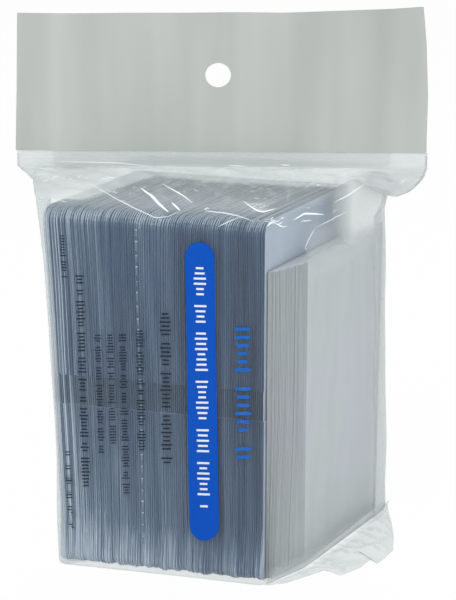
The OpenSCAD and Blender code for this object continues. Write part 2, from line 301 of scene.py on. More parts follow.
def colour_ramp(tree, factor, *stops):
    """Colour ramp through (place, hex colour) stops, driven by factor."""
    outputs = add_node(tree, "ValToRGB", {"Fac": factor})
    elements = tree.nodes[-1].color_ramp.elements
    while len(elements) < len(stops):
        elements.new(0.5)
    for element, (place, colour) in zip(elements, stops):
        element.position = place
        element.color = linear(colour)
    return outputs[0]


def mix_colours(tree, factor, first, second):
    """Colour between first and second by factor."""
    return add_node(tree, "Mix", {"Factor": factor, "A": first, "B": second}, data_type="RGBA")["Result"]


def mix_shaders(tree, factor, first, second):
    """Shader between first and second by factor."""
    return add_node(tree, "MixShader", {0: factor, 1: first, 2: second})[0]


def skin(tree, colour, roughness, ior, **more):
    """Principled shader. More sockets are given by their names with low dashes for spaces."""
    values = {"Base Color": colour, "Roughness": roughness, "IOR": ior}
    values.update({key.replace("_", " "): value for key, value in more.items()})
    return add_node(tree, "BsdfPrincipled", values)[0]


def bump(tree, height, strength, depth):
    """Normal of a surface that rises by height times depth, in metres."""
    return add_node(tree, "Bump", {"Height": height, "Strength": strength, "Distance": depth})[0]


def make_material(name, shader, *values):
    """A new material with the nodes that shader adds to its tree."""
    material = bpy.data.materials.new(name)
    material.use_nodes = True
    material.node_tree.nodes.clear()
    surface = shader(material.node_tree, *values)
    add_node(material.node_tree, "OutputMaterial", {"Surface": surface})
    print("made", name)
    return material

# %% [markdown]
# ### Rigid vinyl sheet
#
# The flips are calendered vinyl, 0.2 mm thick. One sheet is clear, a hundred together go slate
# blue, because each takes a little of the light. A die cuts the edges, and they catch light in
# fine upright streaks, which are painted into the colour as light streaks as well as bumped. The
# real streaks are about 0.1 mm apart. A pixel is 0.36 mm, so they are drawn 0.6 mm apart and 30 mm
# long. Faces are paler than edges, and ends that look up are painted paler still: a painted light on the
# tops.

# %% Vinyl material
def vinyl_shader(tree):
    """Cut edges by tone, painted light streaks and a painted light on what looks up, and paler hazy faces."""
    streaks = noise(tree, object_place(tree, (1600, 1600, 33)), 1.0, 2.0)
    tone = calculate(tree, "MULTIPLY_ADD", streaks, 0.5, attribute(tree, "tone"))
    # painted light: ends that look up are made paler by 0.64 of how far they look up
    tone = calculate(tree, "ADD", tone, calculate(tree, "MULTIPLY", upward(tree), 0.64, clamp=True))
    edge = colour_ramp(tree, calculate(tree, "SUBTRACT", tone, 0.25),
                       (0.0, "#213650"), (0.3, "#466283"), (0.6, "#748AA1"), (1.0, "#D5E1EC"))
    haze = noise(tree, object_place(tree), 60.0, 3.0)
    face = colour_ramp(tree, haze, (0.3, "#C1CBD8"), (0.7, "#CCD5DF"))
    colour = mix_colours(tree, attribute(tree, "rim"), face, edge)
    return skin(tree, colour, 0.4, 1.54, Specular_IOR_Level=0.25, Normal=bump(tree, streaks, 0.25, 0.0001))


vinyl = make_material("calendered_vinyl_sheet", vinyl_shader)

# %% [markdown]
# ### Card
#
# The inserts are smooth white card, cut in a guillotine. Cut edges look greyer and a little
# rougher than the faces, and they differ from card to card. Edges that look up are painted paler:
# a painted light on the top of the pile.

# %% Card material
def card_shader(tree):
    """Cut edges by tone and a painted light on what looks up, and pale faces that change slowly."""
    place = object_place(tree)
    face = colour_ramp(tree, noise(tree, place, 25.0, 2.0), (0.35, "#DCDBDF"), (0.65, "#DADFDA"))
    # painted light: cut edges that look up are made paler by 0.9 of how far they look up
    paler = calculate(tree, "MULTIPLY_ADD", upward(tree), 0.9, attribute(tree, "tone"))
    edge = colour_ramp(tree, paler, (0.0, "#424E55"), (0.2, "#494E58"), (0.55, "#5F6471"), (1.0, "#F4F6F8"))
    colour = mix_colours(tree, attribute(tree, "rim"), face, edge)
    fibre = noise(tree, place, 3000.0, 3.0)
    return skin(tree, colour, 0.7, 1.5, Normal=bump(tree, fibre, 0.2, 0.00003))


card = make_material("guillotined_white_card", card_shader)

# %% [markdown]
# ### Clear film
#
# The bag is stretched polypropylene film: it passes most light, mirrors a little when seen square
# on and more when seen edge on. It is hazy where it hangs loose in small wrinkles, and clear where
# it lies on the contents. A hard fold turns white. The share of gloss is 0.012 + 0.16 f^4,
# where f is 0 seen square on and 1 seen edge on, and the film darkens by the same f^4, because a ray
# then runs a longer way through it. A Fresnel node would take the film's back faces for the inside
# of glass and make them opaque.

# %% Film material
def film_shader(tree, tint, edge_tint, body, roughness, gloss=1.0, glare=0.0):
    """See-through film: tint and edge_tint are the colours that one face passes square on and edge
    on, body is the dull colour of its haze, whose share is the haze attribute, gloss scales the
    mirror, and glare is a little light of its own: a painted glint, for creases that mirror the lamps."""
    edge_on = add_node(tree, "LayerWeight", {"Blend": 0.5})["Facing"]
    steep = calculate(tree, "POWER", edge_on, 4.0)
    share = calculate(tree, "MULTIPLY_ADD", steep, 0.16 * gloss, 0.012 * gloss)
    milky = calculate(tree, "ADD", attribute(tree, "haze"), share, clamp=True)
    clear = add_node(tree, "BsdfTransparent", {"Color": mix_colours(tree, steep, tint, edge_tint)})[0]
    dull = skin(tree, body, roughness, 1.49, Specular_IOR_Level=0.9, Emission_Color="#FFFFFF",
                Emission_Strength=glare)
    return mix_shaders(tree, milky, clear, dull)


clear_film = make_material("cast_polypropylene_film", film_shader, "#FCFDFD", "#ECEFEF", "#F6F9F5", 0.2)
loose_film = make_material("wrinkled_polypropylene_film", film_shader, "#FCFDFD", "#ECEFEF", "#D0D7D5", 0.3)
flap_film = make_material("clear_polypropylene_flap", film_shader, "#FEFEFE", "#FAFBFB", "#FCFDF8", 0.3, 0.3)
weld_film = make_material("melted_film_weld", film_shader, "#FDFEFE", "#F0F2F2", "#DCE1E0", 0.3, 0.6)
# creases are white and glow a little: partly real whitening, partly a painted glint of the lamps
crease_glint_film = make_material("whitened_film_crease_painted_glint", film_shader,
                            "#FFFFFF", "#FFFFFF", "#F6F8F8", 0.3, 1.0, 0.3)

# %% [markdown]
# ### Header film
#
# The header is pearlised polypropylene: tiny hollows in the film scatter light, so it is opaque,
# satin and slightly green grey. It was rolled up tight, which leaves faint upright waves. Its
# colour carries broad upright clouds of painted light and shade from those waves.

# %% Header material
def header_shader(tree):
    """Satin pearl with fine grain, and broad upright clouds of painted light and shade."""
    # painted light and shade of the upright waves, as noise stretched upright
    painted_wave_shade = noise(tree, object_place(tree, (48, 8, 6)), 1.0, 2.5)
    colour = colour_ramp(tree, painted_wave_shade, (0.3, "#B7BBB4"), (0.7, "#CFD2CB"))
    grain = noise(tree, object_place(tree), 1800.0, 2.0)
    return skin(tree, colour, 0.42, 1.49, Coat_Weight=0.15, Coat_Roughness=0.3,
                Normal=bump(tree, grain, 0.12, 0.00003))


header_film = make_material("pearlised_polypropylene_film", header_shader)

# %% [markdown]
# ### Ink and adhesive
#
# Flexo ink lies on the film in a layer of a few thousandths of a millimetre. It prints with tiny
# pinholes, so its colour is broken by fine grain. The flap's adhesive is clear acrylic, slightly
# milky, with air bubbles about 1 mm across.

# %% Ink and adhesive materials
def ink_shader(tree, low, high):
    """Matt ink of a colour between low and high."""
    grain = noise(tree, object_place(tree), 2200.0, 2.0)
    return skin(tree, colour_ramp(tree, grain, (0.35, low), (0.65, high)), 0.6, 1.5, Specular_IOR_Level=0.15)


def adhesive_shader(tree):
    """See-through and milky by turns: bubbles are the cells of a Voronoi pattern."""
    cells = add_node(tree, "TexVoronoi", {"Vector": object_place(tree), "Scale": 700.0})["Distance"]
    bubble = colour_ramp(tree, cells, (0.12, "#FFFFFF"), (0.3, "#303030"))
    share = calculate(tree, "MULTIPLY_ADD", bubble, 0.3, 0.3)
    clear = add_node(tree, "BsdfTransparent", {"Color": "#FCFDFD"})[0]
    return mix_shaders(tree, share, clear, skin(tree, "#EEF1F1", 0.4, 1.47))


blue_ink = make_material("flexo_ink_blue", ink_shader, "#0052BE", "#0058C6")
mid_blue_ink = make_material("flexo_ink_mid_blue", ink_shader, "#1C68C0", "#2270CC")
dark_ink = make_material("flexo_ink_dark", ink_shader, "#1C2533", "#27313F")
white_ink = make_material("flexo_ink_white", ink_shader, "#F0F3F6", "#FAFBFC")
adhesive = make_material("acrylic_adhesive_with_bubbles", adhesive_shader)

# %% [markdown]
# ## The sheets of the flips
#
# A sheet is a plate 0.2 mm thick with round corners. It is made as a ladder: rows up the sheet,
# each with a front and a back point on both faces. Near a round end the rows close in by
# r - sqrt(r^2 - (r - d)^2) at the distance d from the end. Ladders of a few dozen faces are enough,
# even for three hundred sheets. Real sheets are never straight, so the whole stack bows a little
# together, and single flips stand a few tenths of a millimetre out of line. Their welded edges
# puff up, so the sheets are 0.04 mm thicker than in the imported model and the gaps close.

# %% Place of the stack and the ladder function
TURN, FAN = math.radians(29), math.radians(17)
STACK_X, STACK_T, PITCH = -5.433, 72.0, 0.72
FLIPS, BUNDLE = 100, 10
FLIP_W, FLIP_H, POCKET_H, SHEET_T, POCKET_GAP = 63.5, 132.0, 60.5, 0.24, 0.03
CORNER_R, FOOT_R, CONTENT_Z = 5.0, 3.2, 0.4
CARD_W, CARD_H, CARD_T, CARD_PITCH = 57.15, 114.3, 0.09, 0.106
CARDS, CARDS_X, CARDS_Y, CARD_FAN, CARD_CORNER_R = 50, 36.3, -19.744, 18.5, 0.8


def in_bag(points):
    """Turns points (..., 3) from the frame of the sheets to the shared frame: a turn of -29
    degrees about Z, then a move along X."""
    x, y, z = points[..., 0], points[..., 1], points[..., 2]
    return np.stack([STACK_X + x * math.cos(TURN) + y * math.sin(TURN),
                     -x * math.sin(TURN) + y * math.cos(TURN), z], -1)


def ladder_rows(height, low_r, high_r, middle):
    """Heights of the rows of one sheet, and how far each row closes in. The ends have corners of
    radius low_r and high_r, and a radius of 0 is a square end."""
    def end(r):
        steps = np.array([0.0, 0.06, 0.2, 0.42, 0.7, 1.0]) * r if r else np.array([0.0, 4.0])
        return steps, r - np.sqrt(np.maximum(r ** 2 - (r - steps) ** 2, 0))

    low, high = end(low_r), end(high_r)
    inner = np.linspace(low[0][-1], height - high[0][-1], middle + 2)[1:-1]
    return (np.concatenate([low[0], inner, (height - high[0])[::-1]]),
            np.concatenate([low[1], np.zeros(middle), high[1][::-1]]))


def ladders(x0, thickness, y0, width, z0, rows):
    """Points (sheets, rows, 4, 3) in the frame of the sheets: on each row the left face's front
    and back point, then the right face's back and front point."""
    heights, closing = rows
    y_front = y0[:, None] + closing[None]
    y_back = y0[:, None] + width - closing[None]
    z = z0[:, None] + heights[None]
    left = np.broadcast_to(x0[:, None], z.shape)
    right = left + thickness
    return np.stack([np.stack([left, y_front, z], -1), np.stack([left, y_back, z], -1),
                     np.stack([right, y_back, z], -1), np.stack([right, y_front, z], -1)], 2)


def ladder_faces(sheets, rows, first=0):
    """Quads of many ladders, and a number for each quad: 0 on the two faces of a sheet, 1 on its
    cut rims."""
    rim = np.concatenate([np.tile([0.0, 1.0, 0.0, 1.0], rows - 1), [1.0, 1.0]])
    return repeated(np.concatenate(tube_faces(rows, 4)), rows * 4, sheets) + first, np.tile(rim, sheets)


def store_sheets(piece, tone, rim):
    """Keeps the tone of each row of the ladders on its four points, and the rims on the faces."""
    store(piece, "tone", np.repeat(tone, 4))
    store(piece, "rim", rim, "FACE")


print("one ladder has", len(ladder_faces(1, len(ladder_rows(FLIP_H, FOOT_R, CORNER_R, 6)[0]))[0]), "faces")

# %% [markdown]
# ### Ten bundles of flips
#
# The bow moves points along X by a slow wave, whose slope stays far below the free space between
# two flips, so no sheets cross. Tone is a number for each sheet that changes slowly up its height.
# It is what makes the front read as packed edges, with darker and lighter bands.
# Faces inside the stack are seen only in the gaps, where they lie in shade, so they are painted
# nearly as dark as a cut edge: a painted shade that takes 0.85 of its colour.

# %% Make the flips
INNER_FACE_SHADE = 0.85


def stack_bow(points):
    """Moves points along the stack: slow waves in height and depth that change little from one
    flip to the next, more at the ends, and a fan that opens the left half by
    3.6 h + 1.2 h^3 - 1 mm, where h is the share of the height. It stays slow enough for a
    bundle to rise 4 mm beside its neighbours."""
    x, y, z = points[..., 0], points[..., 1], points[..., 2]
    ends = 1 - ease(0, 30, z - CONTENT_Z) + ease(102, 132, z - CONTENT_Z)
    wave = 0.17 * np.sin(z / 21 + x / 9) + 0.14 * np.sin(z / 11 - x / 13 + 1.7) + ends * (
        0.085 * np.sin(x / 2.9 + 0.6) + 0.03 * np.sin(x / 1.3 + y / 30))
    inside = ease(0, 3, x + STACK_T / 2) * ease(0, 3, STACK_T / 2 - x)
    left, h = ease(10, -STACK_T / 2, x), z / FLIP_H
    moved = points.copy()
    moved[..., 0] += wave * inside + left * (1.0 - 3.6 * h - 1.2 * h ** 3)
    return moved


def flip_place(i):
    """Left face and front edge of flip i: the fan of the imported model, with its scatter of
    0.3 mm spread over groups of flips, and 0.1 mm more between the bundles at the left."""
    x = -STACK_T / 2 + i * PITCH
    y = -FLIP_W / 2 + (x + 0.225) * math.tan(FAN)
    x = x - 0.1 * np.maximum(3 - i // BUNDLE, 0)
    return x, y + 0.16 * np.sin(i * 0.83) + 0.1 * np.sin(i * 0.31 + 2) + 0.04 * np.sin(i * 2.4)


def flip_tone(i, z, seed):
    """Tone of flip i at height z: a seeded level that differs most near the two ends of the
    stack, broad bands, slow change up the sheet, and paler towards the left, foot and corners.
    Paler towards the foot is painted light, the bounce of the white floor. Paler towards the left is
    partly the fanned edges and partly a painted reflection of the film."""
    level = np.random.default_rng(seed).uniform(-1, 1, FLIPS)[i][:, None]
    i = i[:, None]
    last = FLIPS - 1
    # painted light: paler towards the foot, as the white floor's bounce light
    foot = (0.19 - 0.07 * ease(55, 95, i)) * ease(78, 8, z) + (0.26 + 0.08 * level) * ease(12, 0, z)
    edges = (0.03 + 0.5 * np.exp(-i / 14) + 0.12 * np.exp((i - last) / 12)) * (1 + 0.1 * ease(60, 8, z))
    edges = edges + 0.06 * ease(118, 130, z)
    bands = 0.03 * np.sin(i * 0.47 + 1.0) + 0.04 * np.sin(i * 0.171) + 0.02 * np.sin(i * 1.1 + 0.4)
    drift = 0.05 * np.sin(z / 17 + i * 0.6) + 0.05 * np.sin(z / 41 + i * 0.23)
    # paler at the left: the fanned edges, and a painted reflection of the film
    left = 0.5 * np.exp(-i / 14)
    ends = 0.12 * ease(8, 0, np.minimum(z, CONTENT_Z + FLIP_H - z))
    right = 0.15 * (i == last) - 0.14 * ease(50, 88, i)
    return 0.325 + level * edges + bands + drift + left + foot + ends + right


def flip_bundle(bundle):
    """One bundle of ten flips: back sheets, then lower and upper pockets."""
    i = np.arange(BUNDLE) + bundle * BUNDLE
    x, y = flip_place(i)
    rng = np.random.default_rng(500 + bundle)
    y = y + rng.uniform(-0.12, 0.06, BUNDLE) - 0.3 * (rng.uniform(0, 1, BUNDLE) > 0.9)
    scatter = rng.uniform(-0.35, 0.35, BUNDLE)
    out_at_foot = 1.5 + 0.5 * np.sin(i * 0.9) + 0.35 * np.sin(i * 0.37 + 1) + scatter
    pocket_x, pocket_z = x + SHEET_T + POCKET_GAP, CONTENT_Z + FLIP_H - POCKET_H
    layers = [(x, CONTENT_Z, ladder_rows(FLIP_H, FOOT_R, CORNER_R, 6), 11),
              (pocket_x, CONTENT_Z, ladder_rows(POCKET_H, FOOT_R, 0, 3), 23),
              (pocket_x, pocket_z, ladder_rows(POCKET_H, 0, CORNER_R, 3), 37)]
    points, faces, rims, tones, count = [], [], [], [], 0
    for x0, z0, rows, seed in layers:
        scatter = np.random.default_rng(seed * 7 + bundle).uniform(-0.07, 0.07, BUNDLE)
        lift = np.random.default_rng(seed + bundle).uniform(0, 0.3, BUNDLE)
        grid = stack_bow(ladders(x0, SHEET_T, y + scatter, FLIP_W, z0 + lift, rows))
        grid[..., 1] -= out_at_foot[:, None, None] * ease(18, 0, grid[..., 2])
        quads, rim = ladder_faces(BUNDLE, len(rows[0]), count)
        inside = ((i > 0) & (i < FLIPS - 1))[:, None]
        # painted shade: faces inside the stack take most of a cut edge's dark colour
        rims.append(np.maximum(rim.reshape(BUNDLE, -1), INNER_FACE_SHADE * inside).ravel())
        tones.append(flip_tone(i, grid[:, :, 0, 2], seed).ravel())
        points.append(in_bag(grid).reshape(-1, 3))
        faces.append(quads)
        count += len(points[-1])
    number = f"{bundle + 1:02d}"
    quads = [np.concatenate(faces)]
    piece = add_piece(f"flips_{number}", np.concatenate(points), quads, vinyl, smooth=False)
    store_sheets(piece, np.concatenate(tones), np.concatenate(rims))
    return fit(piece, f"bundle_{number}", "vinyl_sheet",
               f"flip_backs_{number}", f"lower_pockets_{number}", f"upper_pockets_{number}")


bundles = [flip_bundle(b) for b in range(FLIPS // BUNDLE)]
print("flips:", sum(len(p.data.polygons) for p in bundles), "faces in", len(bundles), "bundles")

# %% [markdown]
# ### The weld that shows
#
# One flip stands a little proud of its neighbours, and the pressed dashes of its weld catch the
# light up the whole front. They are a row of small raised pads on the cut edge.

# %% Raised dashes of the proud flip's weld
PROUD_FLIP, DASHES, DASH_RISE = 41, 27, 0.35


def weld_dashes():
    """A row of low closed pads on the edge of a flip, 4.6 mm apart and 2 to 3.8 mm long. Each is
    narrower in front than at its foot."""
    rng = np.random.default_rng(88)
    x, y = flip_place(np.array([PROUD_FLIP]))
    half = rng.uniform(1.0, 1.9, DASHES)
    wide = rng.uniform(0.25, 0.45, DASHES)
    rise = np.full(DASHES, DASH_RISE)
    ring = np.array([[-1, 0, -1], [1, 0, -1], [1, 0, 1], [-1, 0, 1]])
    section = np.stack([ring * [0.6, 0, 0.8] - [0, 1, 0], ring])
    place = np.stack([x + 0.25 + 0 * wide, y - DASH_RISE + 0 * wide, np.linspace(7, 126, DASHES)], -1)
    pads = section * np.stack([wide, rise, half], -1)[:, None, None] + place[:, None, None]
    faces = repeated(np.concatenate(tube_faces(2, 4)), 8, DASHES)
    piece = add_piece("proud_flip_weld", in_bag(stack_bow(pads)), [faces], vinyl, smooth=False)
    store(piece, "tone", 0.6)
    store(piece, "rim", 1.0, "FACE")
    return fit(piece, "bundle_05", "vinyl_sheet")


weld = weld_dashes()
print("dashes:", len(weld.data.polygons) // 6)

# %% [markdown]
# ## The card inserts
#
# Fifty cards make a fanned pile. They use the same ladder, with corners of 0.8 mm. They lie in
# small packs that stand a few tenths of a millimetre out of line, as cut, and the outermost card
# has slipped down. The lower front corners push forward, because the bag's floor holds them. The
# first few cards, beside the last flip, are painted dark: a painted shade in the gap there.

# %% Make the cards
def card_group(group):
    """Ten cards of the pile, as one piece."""
    k = np.arange(BUNDLE) + group * BUNDLE
    rng = np.random.default_rng(900 + group)
    x = CARDS_X + k * CARD_PITCH
    pack = np.cumsum(np.random.default_rng(77).uniform(0, 1, CARDS) > 0.68)[k]
    step = np.random.default_rng(78).uniform(-1, 1, CARDS)[pack]
    y = CARDS_Y + k * CARD_FAN / (CARDS - 1) + 0.3 * step + rng.uniform(-0.08, 0.08, BUNDLE)
    rows = ladder_rows(CARD_H, CARD_CORNER_R, CARD_CORNER_R, 8)
    foot = CONTENT_Z + 0.25 + 0.2 * step - 0.4 * (k == CARDS - 1)
    grid = ladders(x, CARD_T, y, CARD_W, foot, rows)
    share = (k / (CARDS - 1))[:, None, None]
    grid[..., 1] -= 3.2 * (1 - ease(0, 70, grid[..., 2])) * 4 * share * (1 - share)
    quads, rim = ladder_faces(BUNDLE, len(rows[0]))
    new_pack = np.diff(pack, prepend=pack[0]) > 0
    level = 0.42 + 0.3 * step + rng.uniform(-0.12, 0.12, BUNDLE) - 0.35 * new_pack
    # painted shade: the first cards beside the last flip fade to the dark end of the ramp
    tone = (level * ease(3, 10, k))[:, None] + 0.08 * np.sin(grid[:, :, 0, 2] / 13 + k[:, None] / 3)
    number = f"{group + 1:02d}"
    piece = add_piece(f"cards_{number}", in_bag(grid), [quads], card, smooth=False)
    store_sheets(piece, tone, rim)
    return fit(piece, "insert_pile", "insert_card", f"insert_cards_{number}")


card_groups = [card_group(g) for g in range(CARDS // BUNDLE)]
print("cards:", sum(len(p.data.polygons) for p in card_groups), "faces")

# %% [markdown]
# ## The film of the bag
#
# The bag is one web of film: a tube round the contents that closes to a flat line at the neck.
# Its outline at each height is a polygon with five rounded corners, which stand off the contents
# as far as the photograph shows: little at the foot, more at the top left. The same number of
# points goes into each outline, so the outlines stack into one smooth grid. Above the contents
# each point travels to its place on the neck. Then the film is crumpled: sharp folds on the
# shoulders, soft ones on the walls.

# %% Outline of the bag at every height
WALL_TOP, NECK_Z, NECK_TOP, NECK_HALF = 136.9, 142.7, 148.3, 71.9
CONTENT_CORNERS = in_bag(np.array([
    [-36, -43.056, 0], [36, -21.044, 0], [41.3, -1.244, 0], [41.3, 55.906, 0], [-36, 21.044, 0],
]))[:, :2]
# Stand-off of each corner in X and Y at these heights
STAND_HEIGHTS = [0, 12, 40, 61, 90, 115, 126, 132, 137]
STAND_OFF = [
    [[-1.6, -1.5, -1.4, -1.9, -2.8, -4.4, -5.6, -6.5, -7.0],
     [-3.2, -2.6, -1.2, -1.0, -1.0, -1.1, -1.2, -1.4, -1.6]],
    [[0.5, 0.5, 0.5, 0.5, 0.5, 0.5, 0.6, 0.8, 1.0],
     [-3.9, -3.0, -1.4, -1.2, -1.2, -1.2, -1.3, -1.5, -1.6]],
    [[1.0, 1.2, 1.4, 1.2, 1.0, 1.0, 0.9, 0.9, 1.0],
     [-3.6, -3.0, -1.6, -1.1, -1.0, -1.0, -1.0, -1.0, -1.0]],
    [[5.3, 4.9, 4.0, 3.4, 3.0, 2.4, 2.1, 2.0, 1.9],
     [0.8, 0.9, 1.0, 1.2, 1.3, 1.3, 1.3, 1.3, 1.3]],
    [[-1.0, -1.0, -1.1, -1.6, -2.6, -3.9, -4.5, -4.9, -5.0],
     [1.0, 1.0, 1.1, 1.5, 2.2, 2.9, 3.2, 3.4, 3.4]],
]
# Straight runs: which side, from and to which share of it, and how many points. The seals part
# the front from the back on sides 4 and 2
LEFT_SEAL, RIGHT_SEAL_SHARE, ARC_POINTS = 0.89, 0.85, 7
FRONT_SIDES = [(4, LEFT_SEAL, 1, 7), (0, 0, 1, 46), (1, 0, 1, 12), (2, 0, RIGHT_SEAL_SHARE, 29)]
BACK_SIDES = [(2, RIGHT_SEAL_SHARE, 1, 7), (3, 0, 1, 52), (4, 0, LEFT_SEAL, 33)]
SHOULDER_STEPS, NECK_STEPS = 26, 5


def bag_outlines(heights, radius):
    """Outlines (heights, points, 2), counterclockwise from the left seal, and the number of points
    in front. A side is a straight run between two arcs, and an arc is the curve
    (1-t)^2 P + 2t(1-t) C + t^2 Q round its corner C."""
    off = np.array([[np.interp(heights, STAND_HEIGHTS, axis) for axis in corner] for corner in STAND_OFF])
    corners = CONTENT_CORNERS + np.moveaxis(off, 2, 0)
    following = np.roll(corners, -1, 1)
    along = following - corners
    along /= np.linalg.norm(along, axis=2, keepdims=True)
    r = radius[:, None, None]
    begin, end = corners + along * r, following - along * r
    t = np.linspace(0, 1, ARC_POINTS)[None, :, None]

    def outline(sides):
        """Straight runs, with an arc before each one but the first."""
        parts = []
        for k, from_share, to_share, count in sides:
            if parts:
                p, c, q = end[:, k - 1, None], corners[:, k, None], begin[:, k, None]
                parts.append(((1 - t) ** 2 * p + 2 * t * (1 - t) * c + t ** 2 * q)[:, :-1])
            s = np.linspace(from_share, to_share, count, endpoint=False)[:, None]
            parts.append(begin[:, k, None] * (1 - s) + end[:, k, None] * s)
        return np.concatenate(parts, 1)

    front = outline(FRONT_SIDES)
    return np.concatenate([front, outline(BACK_SIDES)], 1), front.shape[1]


wall_heights = np.concatenate([[0.0, 0.35, 1.0, 2.2], np.linspace(4, WALL_TOP - 1.2, 76), [WALL_TOP]])
corner_radius = np.interp(wall_heights, [0, 20, 120, WALL_TOP], [3.0, 2.0, 2.4, 4.5])
walls, RIGHT_SEAL = bag_outlines(wall_heights, corner_radius)
COLS = walls.shape[1]
middle = walls[40]
steps = np.linalg.norm(np.diff(middle, axis=0, append=middle[:1]), axis=1)
run = np.concatenate([[0], np.cumsum(steps)])
# Distance in mm of each column round the wall, and all the way round
AROUND, GIRTH = run[:-1], run[-1]
BEHIND = np.arange(COLS) > RIGHT_SEAL
front_share = AROUND[:RIGHT_SEAL] / AROUND[RIGHT_SEAL]
back_share = (AROUND[RIGHT_SEAL:] - AROUND[RIGHT_SEAL]) / (GIRTH - AROUND[RIGHT_SEAL])
# Place of each column on the neck's line, and whether it is on the front or the back
neck_x = np.concatenate([front_share * 2 - 1, 1 - back_share * 2]) * NECK_HALF
neck_side = np.where(np.arange(COLS) < RIGHT_SEAL, -1, 1)
print("bag:", COLS, "columns round,", round(GIRTH), "mm round the wall")

# %% Grid of the whole bag
def with_height(plan, z):
    """Joins places (rows, columns, 2) and heights that fit them to points (rows, columns, 3)."""
    return np.concatenate([plan, np.broadcast_to(z, plan.shape[:2])[..., None]], 2)


def bag_grid():
    """Outer face of the film (rows, columns, 3): floor, foot, walls, shoulders and neck."""
    foot = np.interp(wall_heights, [0, 0.35, 1.0, 2.2], [1.2, 0.5, 0.15, 0.0])
    centre = walls.mean(1, keepdims=True)
    inward = centre - walls
    inward /= np.linalg.norm(inward, axis=2, keepdims=True)
    wall = with_height(walls + inward * foot[:, None, None], wall_heights[:, None])
    shares = np.array([0.05, 0.3, 0.6, 0.85, 0.96])[:, None, None]
    floor = with_height(centre[0] + (wall[0, :, :2] - centre[0]) * shares, 0.0)
    s = np.linspace(0, 1, SHOULDER_STEPS + 1)[1:, None]
    pinch = np.minimum(1, (NECK_HALF - np.abs(neck_x)) / 3)
    on_line = np.stack([neck_x, neck_side * 0.4 * pinch], -1)
    shoulder = with_height(wall[-1, :, :2] * (1 - s[..., None]) + on_line * s[..., None],
                           WALL_TOP + (NECK_Z - WALL_TOP) * s ** 0.8)
    up = np.linspace(NECK_Z, NECK_TOP, NECK_STEPS + 1)[1:, None]
    neck = with_height(np.broadcast_to(on_line, (NECK_STEPS, COLS, 2)), up)
    return np.concatenate([floor, wall, shoulder, neck]), len(floor), len(floor) + len(wall)


bag, WALL_ROW, SHOULDER_ROW = bag_grid()
ROWS = len(bag)
print("film grid:", bag.shape[:2], "walls from row", WALL_ROW, "shoulders from row", SHOULDER_ROW)

# %% [markdown]
# ### The loose lobe at the upper right
#
# Both walls of the bag meet in the side seal. On the right this seam hangs out as a loose lobe,
# so the columns near it are pulled out and down by a half sine wave from the top of the wall to
# the neck. On the left the seam runs almost straight.

# %% Pull the lobe out, then crumple the film
LOBE_PULL = [4.4, -2.4, -8.6]
LOBE_WIDTH, LOBE_LOW, FRONT_COLUMN = 20, 120, 30


def lengths(path):
    """Length of a path of straight runs up to each of its points."""
    return np.concatenate([[0], np.cumsum(np.linalg.norm(np.diff(path, axis=0), axis=1))])


def evenly(path, shares):
    """Points at the given shares of the length of a path of straight runs."""
    gone = lengths(path)
    return np.stack([np.interp(shares * gone[-1], gone, path[:, k]) for k in range(2)], -1)


def shape_film(grid):
    """Adds the lobe and then the folds, and gives both grids and the sharp folds. Folds move the
    film along its normal: up to 1.2 mm on the shoulders, 0.1 mm on the neck, and soft upright waves
    on the walls."""
    z = grid[..., 2]
    row = np.arange(ROWS)[:, None]
    up_shoulder = np.clip((row - SHOULDER_ROW + 1) / SHOULDER_STEPS, 0, 1)
    q = np.where(row < SHOULDER_ROW, 0.37 * np.clip((z - LOBE_LOW) / 17, 0, 1), 0.37 + 0.63 * up_shoulder)
    gap = np.abs(AROUND - AROUND[RIGHT_SEAL])
    near = np.clip(np.minimum(gap, GIRTH - gap) / LOBE_WIDTH, 0, 1)
    pull = np.sin(np.pi * q) * (0.5 + 0.5 * np.cos(np.pi * near))
    calm = grid + pull[..., None] * LOBE_PULL
    u = np.broadcast_to(AROUND, z.shape)
    v = np.broadcast_to(lengths(calm[:, FRONT_COLUMN])[:, None], z.shape)
    on_shoulder = np.clip(row - SHOULDER_ROW, 0, 3) / 3 * (1 - ease(0.86, 1.0, up_shoulder))
    on_wall = ease(2, 14, z) * (row < SHOULDER_ROW)
    on_neck = ease(0.86, 1.0, up_shoulder) * (1 - ease(144, NECK_TOP, z))
    crumple = folds(4, u * 0.8, v, 3, 11) * 0.75 + folds(9, u, v * 0.7, 3, 5) * 0.3
    soft = ripples(3, u, v * 0.14, 6, 34, 7)
    height = on_shoulder * np.where(BEHIND, 0.35, 1.0) * (0.9 * crumple + 0.35 * ripples(6, u, v, 4, 30, 9))
    height = height + on_wall * 0.22 * soft + on_neck * 0.1 * ripples(8, u, v, 4, 20, 5)
    # the sides and the back are looser than the front, which the stack holds flat
    looser = np.where(AROUND > 100, 0.2, 0.0)
    height = height + on_wall * looser * (ripples(12, u, v * 0.5, 5, 40, 12) + 0.6)
    out = calm + normals_of(calm, wrap=True) * height[..., None]
    return calm, out, np.clip((crumple - 0.86) * 4, 0, 1) * on_shoulder


calm_grid, film_grid, sharp = shape_film(bag)
film_grid[..., 2] = np.maximum(film_grid[..., 2], 0.0)
reach = film_grid.reshape(-1, 3)
print("film reaches", np.round(reach.min(0), 1), "to", np.round(reach.max(0), 1))

# %% Make the bag's film
FILM_T, LOOSE_FILM_T = 0.1, 0.12
# Where the wall turns away at the left and right and where it comes nearest, on one row of it
level = film_grid[60]
FRONT_LEFT = AROUND[np.argmin(level[:RIGHT_SEAL, 0])]
FAR_RIGHT = AROUND[np.argmax(level[:, 0])]
FRONT_EDGE = AROUND[np.argmin(level[:, 1])]
# The loose film turns milky above this line of pixels, which runs up the block's left top edge,
# along its far top edge and down past the upper right corner
MILKY_X = [30, 45, 155, 215, 270, 334, 347, 390]
MILKY_Y = [216, 212, 176, 181.5, 185, 187, 236, 240]


